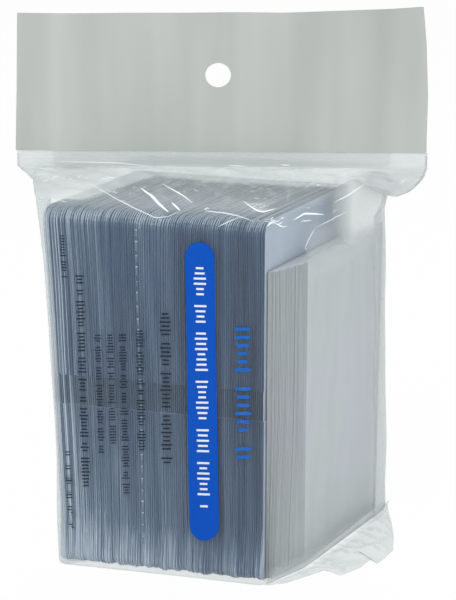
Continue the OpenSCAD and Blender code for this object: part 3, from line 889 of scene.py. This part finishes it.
def haze_map():
    """Share of haze for each point: on the front shoulder 0.48 above the milky line and 0.16 below
    it, 0.31 to 0.15 up the front neck, 0.35 behind them, more on sharp folds, 0.3 and 0.4 where the
    walls turn away at the left and right, up to 0.76 at the loose upper right corner, 0.16 over the
    top of the cards, some at the foot, most on the right, and 0.018 elsewhere."""
    z = film_grid[..., 2]
    px, py = np.moveaxis(to_pixels(film_grid), -1, 0)
    milky = 0.16 + 0.32 * ease(-1.5, 2, np.interp(px, MILKY_X, MILKY_Y) - py)
    neck = 0.15 + 0.16 * ease(NECK_TOP, NECK_Z + 1, z)
    in_front = milky + (neck - milky) * ease(NECK_Z - 0.6, NECK_Z + 0.8, z)
    above = np.where(BEHIND, 0.35, in_front) + 0.2 * sharp
    corner = (0.46 * ease(324, 352, px) + 0.3 * ease(344, 354, px)) * ease(108, 122, z)
    over_cards = 0.16 * ease(303, 312, px) * ease(104, 112, z) * ease(132, 120, z)
    corner = np.where(BEHIND, 0, np.maximum(corner, over_cards))
    left = ease(-14, -5, AROUND - FRONT_LEFT) * ease(4.5, 0.5, AROUND - FRONT_LEFT)
    past = AROUND - FAR_RIGHT
    right = (0.35 * ease(-30, -8, past) + 0.65 * ease(-4, -1.5, past)) * ease(12, 3, past)
    foot_right = ease(0, 6, AROUND - FRONT_EDGE) * ease(8, 0, past)
    foot_right = foot_right * (0.26 * ease(8, 2, z) + 0.06 * ease(45, 4, z))
    on_wall = np.maximum.reduce([0.018 + 0 * z, 0.3 * left + 0 * z, 0.4 * right + 0 * z,
                                 0.08 * ease(4, 1, z), 0.14 * ease(WALL_TOP - 4, WALL_TOP, z),
                                 corner, foot_right])
    return np.where(np.arange(ROWS)[:, None] < SHOULDER_ROW, on_wall, above)


pole = np.append(film_grid[0, :, :2].mean(0), 0.0)
bag_film = film("bag_film", film_grid, FILM_T, clear_film, True, np.array([pole, pole + [0, 0, FILM_T]]))
store(bag_film, "haze", np.append(np.tile(haze_map().ravel(), 2), [0, 0]))
fit(bag_film, "bag", "clear_film",
    "bag_floor", "front_film", "back_film", "front_shoulder", "back_shoulder", "front_neck")
print("bag_film:", len(bag_film.data.polygons), "faces")

# %% [markdown]
# ### Points on the film
#
# Print, creases and weld beads lie on the film, so they are given as a column and a row of its
# grid, and read off with a bilinear mix of the four points round them. Places that were read off the
# photograph come as pixels. They turn into a column and a row by Newton's steps on the calm grid.

# %% Read points off the film
film_normals = normals_of(film_grid, wrap=True)


def read_grid(grid, column, row):
    """Bilinear mix of a grid at fractional columns and rows."""
    c0 = np.floor(column).astype(int)
    r0 = np.clip(np.floor(row).astype(int), 0, ROWS - 2)
    fc, fr = (column - c0)[..., None], (row - r0)[..., None]
    left, right = c0 % COLS, (c0 + 1) % COLS
    low = grid[r0, left] * (1 - fc) + grid[r0, right] * fc
    high = grid[r0 + 1, left] * (1 - fc) + grid[r0 + 1, right] * fc
    return low * (1 - fr) + high * fr


def on_film(column, row, lift):
    """Points of the film at fractional columns and rows, raised by lift in mm."""
    column, row = np.broadcast_arrays(np.asarray(column, float), np.asarray(row, float))
    raised = read_grid(film_normals, column, row) * np.asarray(lift)[..., None]
    return read_grid(film_grid, column, row) + raised


SEED_ROWS, SEED_COLUMNS = (places.ravel() for places in np.meshgrid(
    np.arange(WALL_ROW + 2, ROWS, 3), np.arange(2, RIGHT_SEAL, 3), indexing="ij"))
seed_pixels = to_pixels(calm_grid[SEED_ROWS, SEED_COLUMNS])


def cross(a, b):
    """Cross product of plane vectors: a_x b_y - a_y b_x."""
    return a[..., 0] * b[..., 1] - a[..., 1] * b[..., 0]


def under_pixels(pixels):
    """Column and row of the bag's front at pixels (..., 2). It starts at the nearest of a coarse
    set of points and takes Newton's steps with slopes measured over half a cell."""
    nearest = ((pixels[..., None, :] - seed_pixels) ** 2).sum(-1).argmin(-1)
    column, row = SEED_COLUMNS[nearest].astype(float), SEED_ROWS[nearest].astype(float)
    for _ in range(6):
        here = to_pixels(read_grid(calm_grid, column, row))
        by_column = (to_pixels(read_grid(calm_grid, column + 0.5, row)) - here) / 0.5
        by_row = (to_pixels(read_grid(calm_grid, column, row + 0.5)) - here) / 0.5
        miss, area = pixels - here, cross(by_column, by_row)
        column = column + np.clip(cross(miss, by_row) / area, -3, 3)
        row = row + np.clip(cross(by_column, miss) / area, -3, 3)
        row = np.clip(row, WALL_ROW, ROWS - 1.001)
    return column, row


back_to = to_pixels(read_grid(calm_grid, *under_pixels(np.array([[200.0, 300.0], [230.0, 210.0]]))))
print("pixels (200, 300) and (230, 210) are met at", np.round(back_to, 2).tolist())

# %% [markdown]
# ### Plain print
#
# The film carries print. Here it is plain: a blue bar with round ends, and rows of ticks where lines
# of small print run on such a bag. They are closed shells 0.04 mm thick, a little off the film.
# Each row is given by the pixels of its upper and lower end.

# %% Make the print
INK_T = 0.04
TICK_SHARES, TICK_GAP = [0.62, 0.8, 1.0], 2.3


def print_piece(name, patches, material, lift=0.05):
    """Closed patches on the film from pixels (patches, rows, columns, 2), rows running up."""
    count, rows, cols = patches.shape[:3]
    place = under_pixels(patches)
    points = np.stack([on_film(*place, lift + INK_T), on_film(*place, lift)], 1)
    faces = repeated(np.concatenate(shell_faces(rows, cols)), 2 * rows * cols, count)
    return fit(add_piece(name, points, [faces], material, smooth=False), "bag", "clear_film")


def round_bar(top, foot, width, steps=56, columns=9):
    """Pixels (1, steps, columns, 2) of a bar with round ends. Near an end the half width is
    sqrt(r^2 - (r - d)^2) at the distance d from the end."""
    top, foot = np.array(top), np.array(foot)
    length, r = np.linalg.norm(top - foot), width / 2
    t = 0.5 - 0.5 * np.cos(np.linspace(0, np.pi, steps))
    d = np.minimum(np.minimum(t, 1 - t) * length, r)
    half = np.maximum(np.sqrt(np.maximum(r * r - (r - d) ** 2, 0)), 0.02 * r)
    centre = foot + (top - foot) * t[:, None]
    side = half[:, None] * np.linspace(-1, 1, columns)
    return np.stack([centre[:, :1] + side, np.broadcast_to(centre[:, 1:], side.shape)], -1)[None]


def tick_rows(rows, seed):
    """Pixels (ticks, 2, 2, 2) of rows of plain ticks. A row has its upper and lower end, the width
    of a tick across the row, its thickness and the pitch. Ticks stand in groups of 2 to 9."""
    rng = np.random.default_rng(seed)
    ticks = []
    for top, foot, width, thick, pitch in rows:
        top, foot = np.array(top), np.array(foot)
        length = np.linalg.norm(foot - top)
        group_ends = np.cumsum(rng.integers(2, 10, 80))
        gaps = np.where(np.isin(np.arange(300), group_ends), TICK_GAP, 1.0) * pitch
        d = np.concatenate([[0], np.cumsum(gaps)])
        d = d[d < length - thick]
        centre = top + (foot - top) * (d / length)[:, None]
        half = width / 2 * rng.choice(TICK_SHARES, len(d))
        corner = np.array([[[-1, 1], [1, 1]], [[-1, -1], [1, -1]]])
        size = np.stack([half, np.full(len(d), thick / 2)], -1)
        ticks.append(centre[:, None, None] + corner * size[:, None, None])
    return np.concatenate(ticks)


BAR_TOP, BAR_FOOT, BAR_PX = (199.5, 242.0), (204.5, 540.5), 29.6
WHITE_ROW = [((199.8, 268.0), (204.2, 513.0), 12.5, 2.0, 5.2)]
BLUE_ROW = [((242.5, 329.0), (243.5, 465.0), 16.0, 3.4, 8.2)]
DARK_ROWS = [
    ((165.0, 314.0), (167.0, 467.0), 11.0, 1.5, 4.1),
    ((139.5, 331.0), (142.0, 452.0), 8.0, 1.2, 3.0),
    ((122.5, 335.0), (126.5, 496.0), 7.5, 1.1, 2.8),
    ((110.0, 335.0), (113.5, 444.0), 7.0, 1.1, 2.8),
    ((98.0, 335.0), (101.5, 457.0), 7.0, 1.1, 2.8),
    ((79.5, 276.0), (86.0, 494.0), 8.5, 1.4, 3.4),
    ((62.0, 236.0), (64.5, 280.0), 6.0, 1.1, 2.8),
    ((67.5, 449.0), (71.0, 530.0), 6.0, 1.1, 2.8),
]
prints = [
    print_piece("print_blue_bar", round_bar(BAR_TOP, BAR_FOOT, BAR_PX), blue_ink),
    print_piece("print_white_ticks", tick_rows(WHITE_ROW, 61), white_ink, 0.12),
    print_piece("print_blue_ticks", tick_rows(BLUE_ROW, 62), mid_blue_ink),
    print_piece("print_dark_ticks", tick_rows(DARK_ROWS, 63), dark_ink),
]
print("print:", [len(p.data.polygons) for p in prints])

# %% [markdown]
# ### Creases
#
# A hard crease in film is a thin raised ridge that turns white and mirrors the lamps. Each is a
# closed sliver on the film: a three-sided section that swells from nothing and dies out again. The
# long ones at the front follow pixels of the photograph, and small ones are scattered round them.
# Their white and their small glow are partly that whitening and partly painted glints of the lamps.

# %% Make the crease ridges
CREASE_LIFT = 0.06


def ridge(columns, rows, width, height, steps):
    """Points (steps, 3 corners, 3) of one ridge along a path through (column, row) places. The
    size follows sin(pi t)^0.6, so both ends are fine."""
    t = np.linspace(0, 1, steps)
    knots = np.linspace(0, 1, len(columns))
    c, r = np.interp(t, knots, columns), np.interp(t, knots, rows)
    swell = np.maximum(np.sin(np.pi * t), 0.02) ** 0.6
    centre, top = on_film(c, r, CREASE_LIFT), on_film(c, r, CREASE_LIFT + height * swell)
    up = top - centre
    up /= np.linalg.norm(up, axis=1, keepdims=True)
    side = np.cross(np.gradient(centre, axis=0), up)
    side /= np.maximum(np.linalg.norm(side, axis=1, keepdims=True), 1e-9)
    half = side * (width / 2 * swell)[:, None]
    return np.stack([centre + half, top, centre - half], 1)


def ridge_piece(name, ridges, whiteness_and_glint):
    """One piece of many ridges, with closed ends."""
    walls, ends, count = [], [], 0
    for points in ridges:
        side, end = tube_faces(len(points), 3)
        walls.append(side + count)
        ends.append(end + count)
        count += 3 * len(points)
    faces = [np.concatenate(walls), np.concatenate(ends)]
    piece = add_piece(name, np.concatenate(ridges), faces, crease_glint_film)
    store(piece, "haze", whiteness_and_glint)
    return fit(piece, "bag", "clear_film")


def random_ridges(seed, count, columns, rows, reach):
    """Short seeded ridges scattered over a patch of the film."""
    rng = np.random.default_rng(seed)
    made = []
    for _ in range(count):
        place = np.array([rng.uniform(*columns), rng.uniform(*rows)])
        step = rng.uniform(-reach, reach, 2)
        bend = rng.uniform(-0.3, 0.3, 2) * reach
        path = np.stack([place, place + step / 2 + bend, place + step], 1)
        made.append(ridge(*path, rng.uniform(0.15, 0.4), rng.uniform(0.08, 0.2), 8))
    return made


# Front creases: pixels along each, its width and its height in mm
BRIGHT_CREASES = {
    "bright_fold": ([(141, 190), (158.5, 203.4), (168.7, 212.2)], 0.95, 0.3),
    "bright_fold_hook": ([(171.7, 202.6), (176.5, 207), (180.4, 210.7)], 0.65, 0.2),
    "second_fold": ([(163, 186), (178, 195), (192.5, 203.8)], 0.5, 0.25),
    "middle_curve": ([(243.5, 204), (258.7, 211), (264, 211.7), (276, 208.4)], 0.55, 0.25),
    "right_fold": ([(293.4, 220.4), (303, 213.3), (313, 213.5), (322.6, 214.4)], 0.65, 0.3),
    "right_long": ([(333.8, 202.8), (350, 193), (367.6, 182.2)], 0.5, 0.2),
}
FAINT_CREASES = {
    "long_left": ([(88, 185), (105.6, 194), (136, 208.5), (155.5, 217.7), (168, 216.5), (180, 211)],
                  0.45, 0.2),
    "second_fold_tail": ([(203, 208), (208, 211), (224, 213), (238, 216), (255, 222)], 0.5, 0.2),
    "branch": ([(240, 217), (228, 222), (217.5, 227)], 0.4, 0.15),
    "right_fold_low": ([(300, 221), (310.7, 220)], 0.5, 0.15),
    "right_faint": ([(315, 226.6), (332, 219), (348, 210.7)], 0.4, 0.15),
    "flip_corner": ([(314, 228), (309, 238), (305, 248), (308, 251)], 0.45, 0.15),
    "left_short": ([(101, 181), (109, 180.5), (117, 181)], 0.4, 0.15),
    "neck_line": ([(58.7, 161.5), (90, 162.3), (120, 163), (152.6, 166.7)], 0.35, 0.12),
    "neck_middle": ([(228, 165.6), (246, 166.2)], 0.5, 0.15),
    "neck_right": ([(281, 164.6), (290, 165.4)], 0.5, 0.15),
}
# Patches of small creases: middle and half size in pixels, and how many
CREASE_PATCHES = {
    "sparkle_right": ((272, 222), (14, 5), 14),
    "sparkle_left": ((48, 177), (8, 7), 8),
    "top_left": ((95, 188), (40, 14), 7),
    "top_middle": ((215, 200), (60, 14), 10),
    "top_right": ((330, 200), (40, 14), 7),
    "lobe": ((405, 178), (14, 12), 4),
}


def front_ridge(pixels, width, height, steps=30):
    """Ridge through a few pixels, which are joined by straight runs of even steps."""
    fine = evenly(np.array(pixels), np.linspace(0, 1, steps))
    return ridge(*under_pixels(fine), width, height, steps)


def patch_ridges(middle, half, count, seed):
    """Short seeded creases round a pixel, each 2 to 9 px long and mostly lying flat."""
    rng = np.random.default_rng(seed)
    place = np.array(middle) + rng.uniform(-1, 1, (count, 2)) * half
    length, slope = rng.uniform(1.2, 4.5, count), rng.uniform(-0.6, 0.5, count)
    reach = np.stack([length, length * slope], -1)
    bow = rng.uniform(-1.2, 1.2, (count, 2))
    sizes = rng.uniform(0.15, 0.4, count), rng.uniform(0.05, 0.15, count)
    return [front_ridge([p - r, p + b, p + r], w, h, 8) for p, r, b, w, h in zip(place, reach, bow, *sizes)]


patches = [patch_ridges(*patch, 300 + n) for n, patch in enumerate(CREASE_PATCHES.values())]
# the first patch carries painted glints, as the bright folds do
bright_ridges = [front_ridge(*crease) for crease in BRIGHT_CREASES.values()] + patches[0]
faint_ridges = [front_ridge(*crease) for crease in FAINT_CREASES.values()] + sum(patches[1:], [])
back_ridges = random_ridges(71, 40, (RIGHT_SEAL + 6, COLS - 6), (SHOULDER_ROW + 1, SHOULDER_ROW + 24), 8)
ridge_piece("film_crease_glints_front", bright_ridges, whiteness_and_glint=0.75)
ridge_piece("film_crease_glints_small", faint_ridges, whiteness_and_glint=0.35)
ridge_piece("film_crease_glints_back", back_ridges, whiteness_and_glint=0.4)
print("creases:", len(bright_ridges), "bright,", len(faint_ridges), "faint,", len(back_ridges), "behind")

# %% [markdown]
# ### Side seals
#
# The heat seal is a narrow melted bead up each side. It follows the film from the floor to the neck.

# %% Make the seal beads
BEAD_HALF, BEAD_FOOT = 0.9, 0.03
BEAD_SHARES, BEAD_LIFTS = np.array([-1, -0.5, 0.5, 1]), [0.05, 0.22, 0.22, 0.05]


def seal_bead(name, column, node):
    """A low bead along one column: a closed strip with a flat section of four points."""
    place = column + BEAD_SHARES * BEAD_HALF / np.mean(steps), np.arange(WALL_ROW + 3, ROWS - 1)[:, None]
    piece = shell(name, on_film(*place, BEAD_LIFTS), on_film(*place, BEAD_FOOT), weld_film)
    store(piece, "haze", 0.12)
    return fit(piece, "bag", "weld_bead", node)


seal_bead("seal_bead_left", 0, "side_seal_left")
seal_bead("seal_bead_right", RIGHT_SEAL, "side_seal_right")
print("seal beads made")

# %% [markdown]
# ### The loose bottom corners
#
# Where a flat tube stands on its end, its bottom corners stick out as ears. The right one lies
# out on the floor, crumpled, and the left one is folded up flat against the side.

# %% Make the bottom ears
# Pixels of the right ear's outline, from near the front to the back
EAR_OUTLINE = np.array([
    (268, 585), (287, 582.5), (300, 578), (313, 574), (325, 570), (341, 576), (360, 568),
    (371.5, 559), (377, 564), (386, 557), (393, 551), (394, 537), (391.5, 522), (387, 507),
])
# The ear's root in the frame of the sheets, just outside the foot of the wall
EAR_ROOT = np.array([(38.6, -24.4), (44.1, -3.7), (45.9, 59.8)])
EAR_EDGE_Z, EAR_LENGTH, EAR_SHIFT, EAR_REACH = 0.3, 85, 21, 22
# The left ear folded up on the side: its plane, the middle of its foot, its height and half width
FOLDED_X, FOLDED_Y, FOLDED_H, FOLDED_HALF = -37.9, -11, 23.5, 27


def on_floor(pixels):
    """Places in the frame of the sheets where the rays through pixels meet the ear's edge height:
    the ray through a pixel runs along (x right + y up) / F - t, where t points to the eye."""
    x, y = pixels[:, :1] - PICTURE_CENTRE[0], PICTURE_CENTRE[1] - pixels[:, 1:]
    ray = (x * eye_right + y * eye_up) / FOCAL_PX - toward_eye
    x, y = (EYE + ray * ((EAR_EDGE_Z - EYE[2]) / ray[:, 2:]))[:, :2].T
    x = x - STACK_X
    return np.stack([x * math.cos(TURN) - y * math.sin(TURN), x * math.sin(TURN) + y * math.cos(TURN)], -1)


def ear_right():
    """Grid from the foot of the right wall (rows 0) out to the ear's outline on the floor. Height
    falls from the fold on the wall to the floor, with crumples that die out at both ends."""
    along = np.linspace(0, 1, 60)
    out = np.linspace(0, 1, 20)[:, None]
    root, rim = evenly(EAR_ROOT, along), evenly(on_floor(EAR_OUTLINE), along)
    plan = root * (1 - out[..., None]) + rim * out[..., None]
    u, v = np.broadcast_arrays(along * EAR_LENGTH - EAR_SHIFT, out * EAR_REACH)
    sharp_folds = folds(41, u, v, 3, 13)
    middle = np.sin(np.pi * np.clip(out * 0.9 + 0.05, 0, 1))
    lift = (1.0 + 1.8 * ease(0.2, 1.0, along)) * (1 - out) ** 1.25 + 0.15
    lift = lift + middle * (1.5 * sharp_folds + 0.4 * folds(43, u, v, 3, 6)) * ease(0.12, 0.35, along)
    haze = 0.22 * ease(0, 0.3, out) + 0.25 * middle * np.clip((sharp_folds - 0.86) * 5, 0, 1)
    return in_bag(with_height(plan, lift))[:, ::-1], haze[:, ::-1]


def ear_left():
    """The left corner: a triangle folded up flat on the side, from the foot to a soft tip."""
    t = np.linspace(0, 1, 24)[:, None]
    across = np.linspace(-1, 1, 29)
    y = FOLDED_Y + (FOLDED_HALF * (1 - t) ** 0.9 + 0.6) * across
    z = CONTENT_Z + FOLDED_H * t + 0 * across
    x = FOLDED_X - 0.4 * np.sin(np.pi * t) * (1 - across ** 2) - 0.25 * folds(51, y, z, 3, 9)
    return in_bag(np.stack([x - 1.3 * ease(0, 24, z), y, z], -1))[:, ::-1]


ear_grid, ear_haze = ear_right()
right_ear = film("bottom_corner_right", ear_grid, LOOSE_FILM_T, loose_film)
store(right_ear, "haze", ear_haze)
fit(right_ear, "bag", "clear_film", "bottom_ear_right")
left_ear = film("bottom_corner_left", ear_left(), FILM_T, clear_film)
store(left_ear, "haze", 0.2)
fit(left_ear, "bag", "clear_film", "bottom_ear_left")
print("ears:", len(right_ear.data.polygons), "and", len(left_ear.data.polygons), "faces")

# %% [markdown]
# ## The header
#
# The header is a flat web with a punched hole. Its grid runs from the hole's circle to the border:
# each of 288 spokes mixes a point of the circle with a point of the border, so the hole is truly
# round. The web then bends in upright waves, leans and curls at the right edge.

# %% Make the header film
HEADER_W, HEADER_H, HEADER_Z = 142.0, 50.4, 148.2
HOLE_R, HOLE_RISE = 4.4, 27.5
SPOKES, RINGS = 288, 26
HEADER_T = 0.4


def header_plan():
    """Flat places (rings, spokes, 2): x from the middle and height from the header's foot."""
    side = HEADER_W / 2
    corners = np.array([[side, 0], [side, HEADER_H], [-side, HEADER_H], [-side, 0], [side, 0]])
    length = np.array([HEADER_H, HEADER_W, HEADER_H, HEADER_W])
    counts = np.round(SPOKES * length / length.sum()).astype(int)
    border = np.concatenate([
        start + (end - start) * np.linspace(0, 1, count, endpoint=False)[:, None]
        for start, end, count in zip(corners, corners[1:], counts)])
    angle = np.arctan2((border[:, 1] - HOLE_RISE) / 24, border[:, 0] / 71)
    circle = np.stack([HOLE_R * np.cos(angle), HOLE_RISE + HOLE_R * np.sin(angle)], -1)
    t = (np.linspace(0, 1, RINGS) ** 1.25)[:, None, None]
    return circle * (1 - t) + border * t


def bend_header(plan, layer):
    """Places the flat web: its outline follows the photograph, and it moves in Y by upright waves
    that grow with height, by its lean and by the curl of the right edge."""
    x, h = plan[..., 0], plan[..., 1]
    t = h / HEADER_H
    left = -72.2 + 2.2 * t
    right = np.interp(t, [0, 0.1, 0.4, 0.75, 1.0], [71.4, 71.3, 71.4, 70.4, 69.0])
    share = x / HEADER_W + 0.5
    px = left + (right - left) * share
    # the hole stays round, so the outline's pull fades out near it
    near = 1 - ease(6, 16, np.hypot(x, h - HOLE_RISE))
    px = px * (1 - near) + (x - 1.2) * near
    top = np.interp(px, [-71, 20, 37, 69], [-1.9, -1.6, -0.7, 0.4])
    pz = HEADER_Z + h + top * t ** 2
    grow = ease(0.0, 0.5, t)
    y = grow * (0.7 * np.sin(x / 8.6 + 0.5) * np.sin(x / 31 + 1) + 0.6 * np.sin(x / 15 + t * 1.4))
    y = y + 2.4 * ease(52, 72, x) ** 2 * ease(0.0, 0.6, t) - 1.6 * ease(30, 72, -x) * t
    return np.stack([px, y + layer, pz], -1)


plan = header_plan()
front, back = bend_header(plan, -HEADER_T / 2), bend_header(plan, HEADER_T / 2)
header = shell("header_film", back, front, header_film, wrap=True)
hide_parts("header_front_ply", "header_back_ply")
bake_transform(header)
print("header:", len(header.data.polygons), "faces")

# %% [markdown]
# ## The closing flap
#
# At the back the film folds over the mouth and sticks down on the shoulder. The flap follows the
# shoulder 0.6 mm off it, and the strip of adhesive lies between them, with small air bubbles.

# %% Make the flap and its strip
FLAP_LIFT, FLAP_HALF = 0.7, 59.0
STRIP_LIFT, STRIP_HALF = 0.5, 57.5


def flap_grid(low_row, high_row, lift, half_width, tip=6.0):
    """Grid over the back of the bag between two rows, raised by lift. Its lower corners round off."""
    back_columns = np.arange(RIGHT_SEAL, COLS)
    rows = np.linspace(low_row, high_row, 26)[:, None]
    narrow = tip * np.clip(1 - (rows - low_row) / 5, 0, 1) ** 2
    x = (half_width - narrow) * np.linspace(1, -1, 91)
    return on_film(np.interp(-x, -neck_x[back_columns], back_columns), rows, lift)


flap_outer = flap_grid(SHOULDER_ROW + 12, ROWS - 1, FLAP_LIFT, FLAP_HALF)
flap = film("closing_flap_film", flap_outer, LOOSE_FILM_T, flap_film)
store(flap, "haze", 0.35)
fit(flap, "flap", "clear_film", "closing_flap")
strip_outer = flap_grid(SHOULDER_ROW + 14, SHOULDER_ROW + 22, STRIP_LIFT, STRIP_HALF, 0.0)
strip = film("adhesive_film", strip_outer, LOOSE_FILM_T, adhesive)
fit(strip, "flap", "adhesive", "adhesive_strip")
print("flap and strip:", len(flap.data.polygons), len(strip.data.polygons))

# %% [markdown]
# ## Floor, backdrop and light
#
# A plain white floor with soft lamps. Seen by the camera, or mirrored in the film, the floor is
# mostly a plain white, and the rest of it takes the shadow. The world is white to the camera and a
# softer grey to the surfaces that it lights.

# %% Floor
FLOOR_R, FLOOR_SIDES, FLOOR_Z = 1500, 64, -0.05


def floor_shader(tree):
    """White paper, and a plain white for the rays that come from the camera or a mirror."""
    rays = add_node(tree, "LightPath")
    seen = calculate(tree, "MAXIMUM", rays["Is Camera Ray"], rays["Is Glossy Ray"])
    seen = calculate(tree, "MAXIMUM", seen, rays["Is Transmission Ray"])
    glow = add_node(tree, "Emission", {"Color": "#FFFFFF", "Strength": 1.0})[0]
    paper = add_node(tree, "BsdfDiffuse", {"Color": "#F6F6F6"})[0]
    return mix_shaders(tree, calculate(tree, "MULTIPLY", seen, 0.97), paper, glow)


white_paper = make_material("white_paper_sweep", floor_shader)
a = np.linspace(0, 2 * np.pi, FLOOR_SIDES, endpoint=False)
disc = np.stack([FLOOR_R * np.cos(a), FLOOR_R * np.sin(a), FLOOR_Z + 0 * a], -1)
floor = add_piece("floor", disc, [np.arange(FLOOR_SIDES)[None]], white_paper, smooth=False)
print("floor radius 1.5 m")

# %% World and lamps
world = bpy.data.worlds.new("studio")
world.use_nodes = True
tree = world.node_tree
tree.nodes.clear()
rays = add_node(tree, "LightPath")
seen = calculate(tree, "MAXIMUM", rays["Is Camera Ray"], rays["Is Transmission Ray"])
for_light = add_node(tree, "Background", {"Color": "#F2F6FF", "Strength": 0.55})[0]
for_eye = add_node(tree, "Background", {"Color": "#FFFFFF", "Strength": 1.0})[0]
add_node(tree, "OutputWorld", {"Surface": mix_shaders(tree, seen, for_light, for_eye)})
bpy.context.scene.world = world


def soft_lamp(name, place, aim, size, power):
    """A square area lamp at place, turned towards aim, in mm."""
    light = bpy.data.lights.new(name, "AREA")
    light.shape = "SQUARE"
    light.size = size * MM
    light.energy = power
    lamp = bpy.data.objects.new(name, light)
    away = np.array(place, float) - np.array(aim, float)
    lamp.location = np.array(place) * MM
    flat = math.hypot(away[0], away[1])
    lamp.rotation_euler = (math.atan2(flat, away[2]), 0, math.atan2(away[0], -away[1]))
    bpy.context.scene.collection.objects.link(lamp)
    return lamp


soft_lamp("key_lamp", (-420, -520, 720), (0, 0, 90), 320, 2.6)
soft_lamp("fill_lamp", (600, -480, 420), (0, 0, 80), 420, 1.1)
soft_lamp("top_lamp", (60, 320, 760), (0, 0, 130), 260, 1.6)
bpy.context.scene.view_settings.view_transform = "Standard"
print("lamps ready")
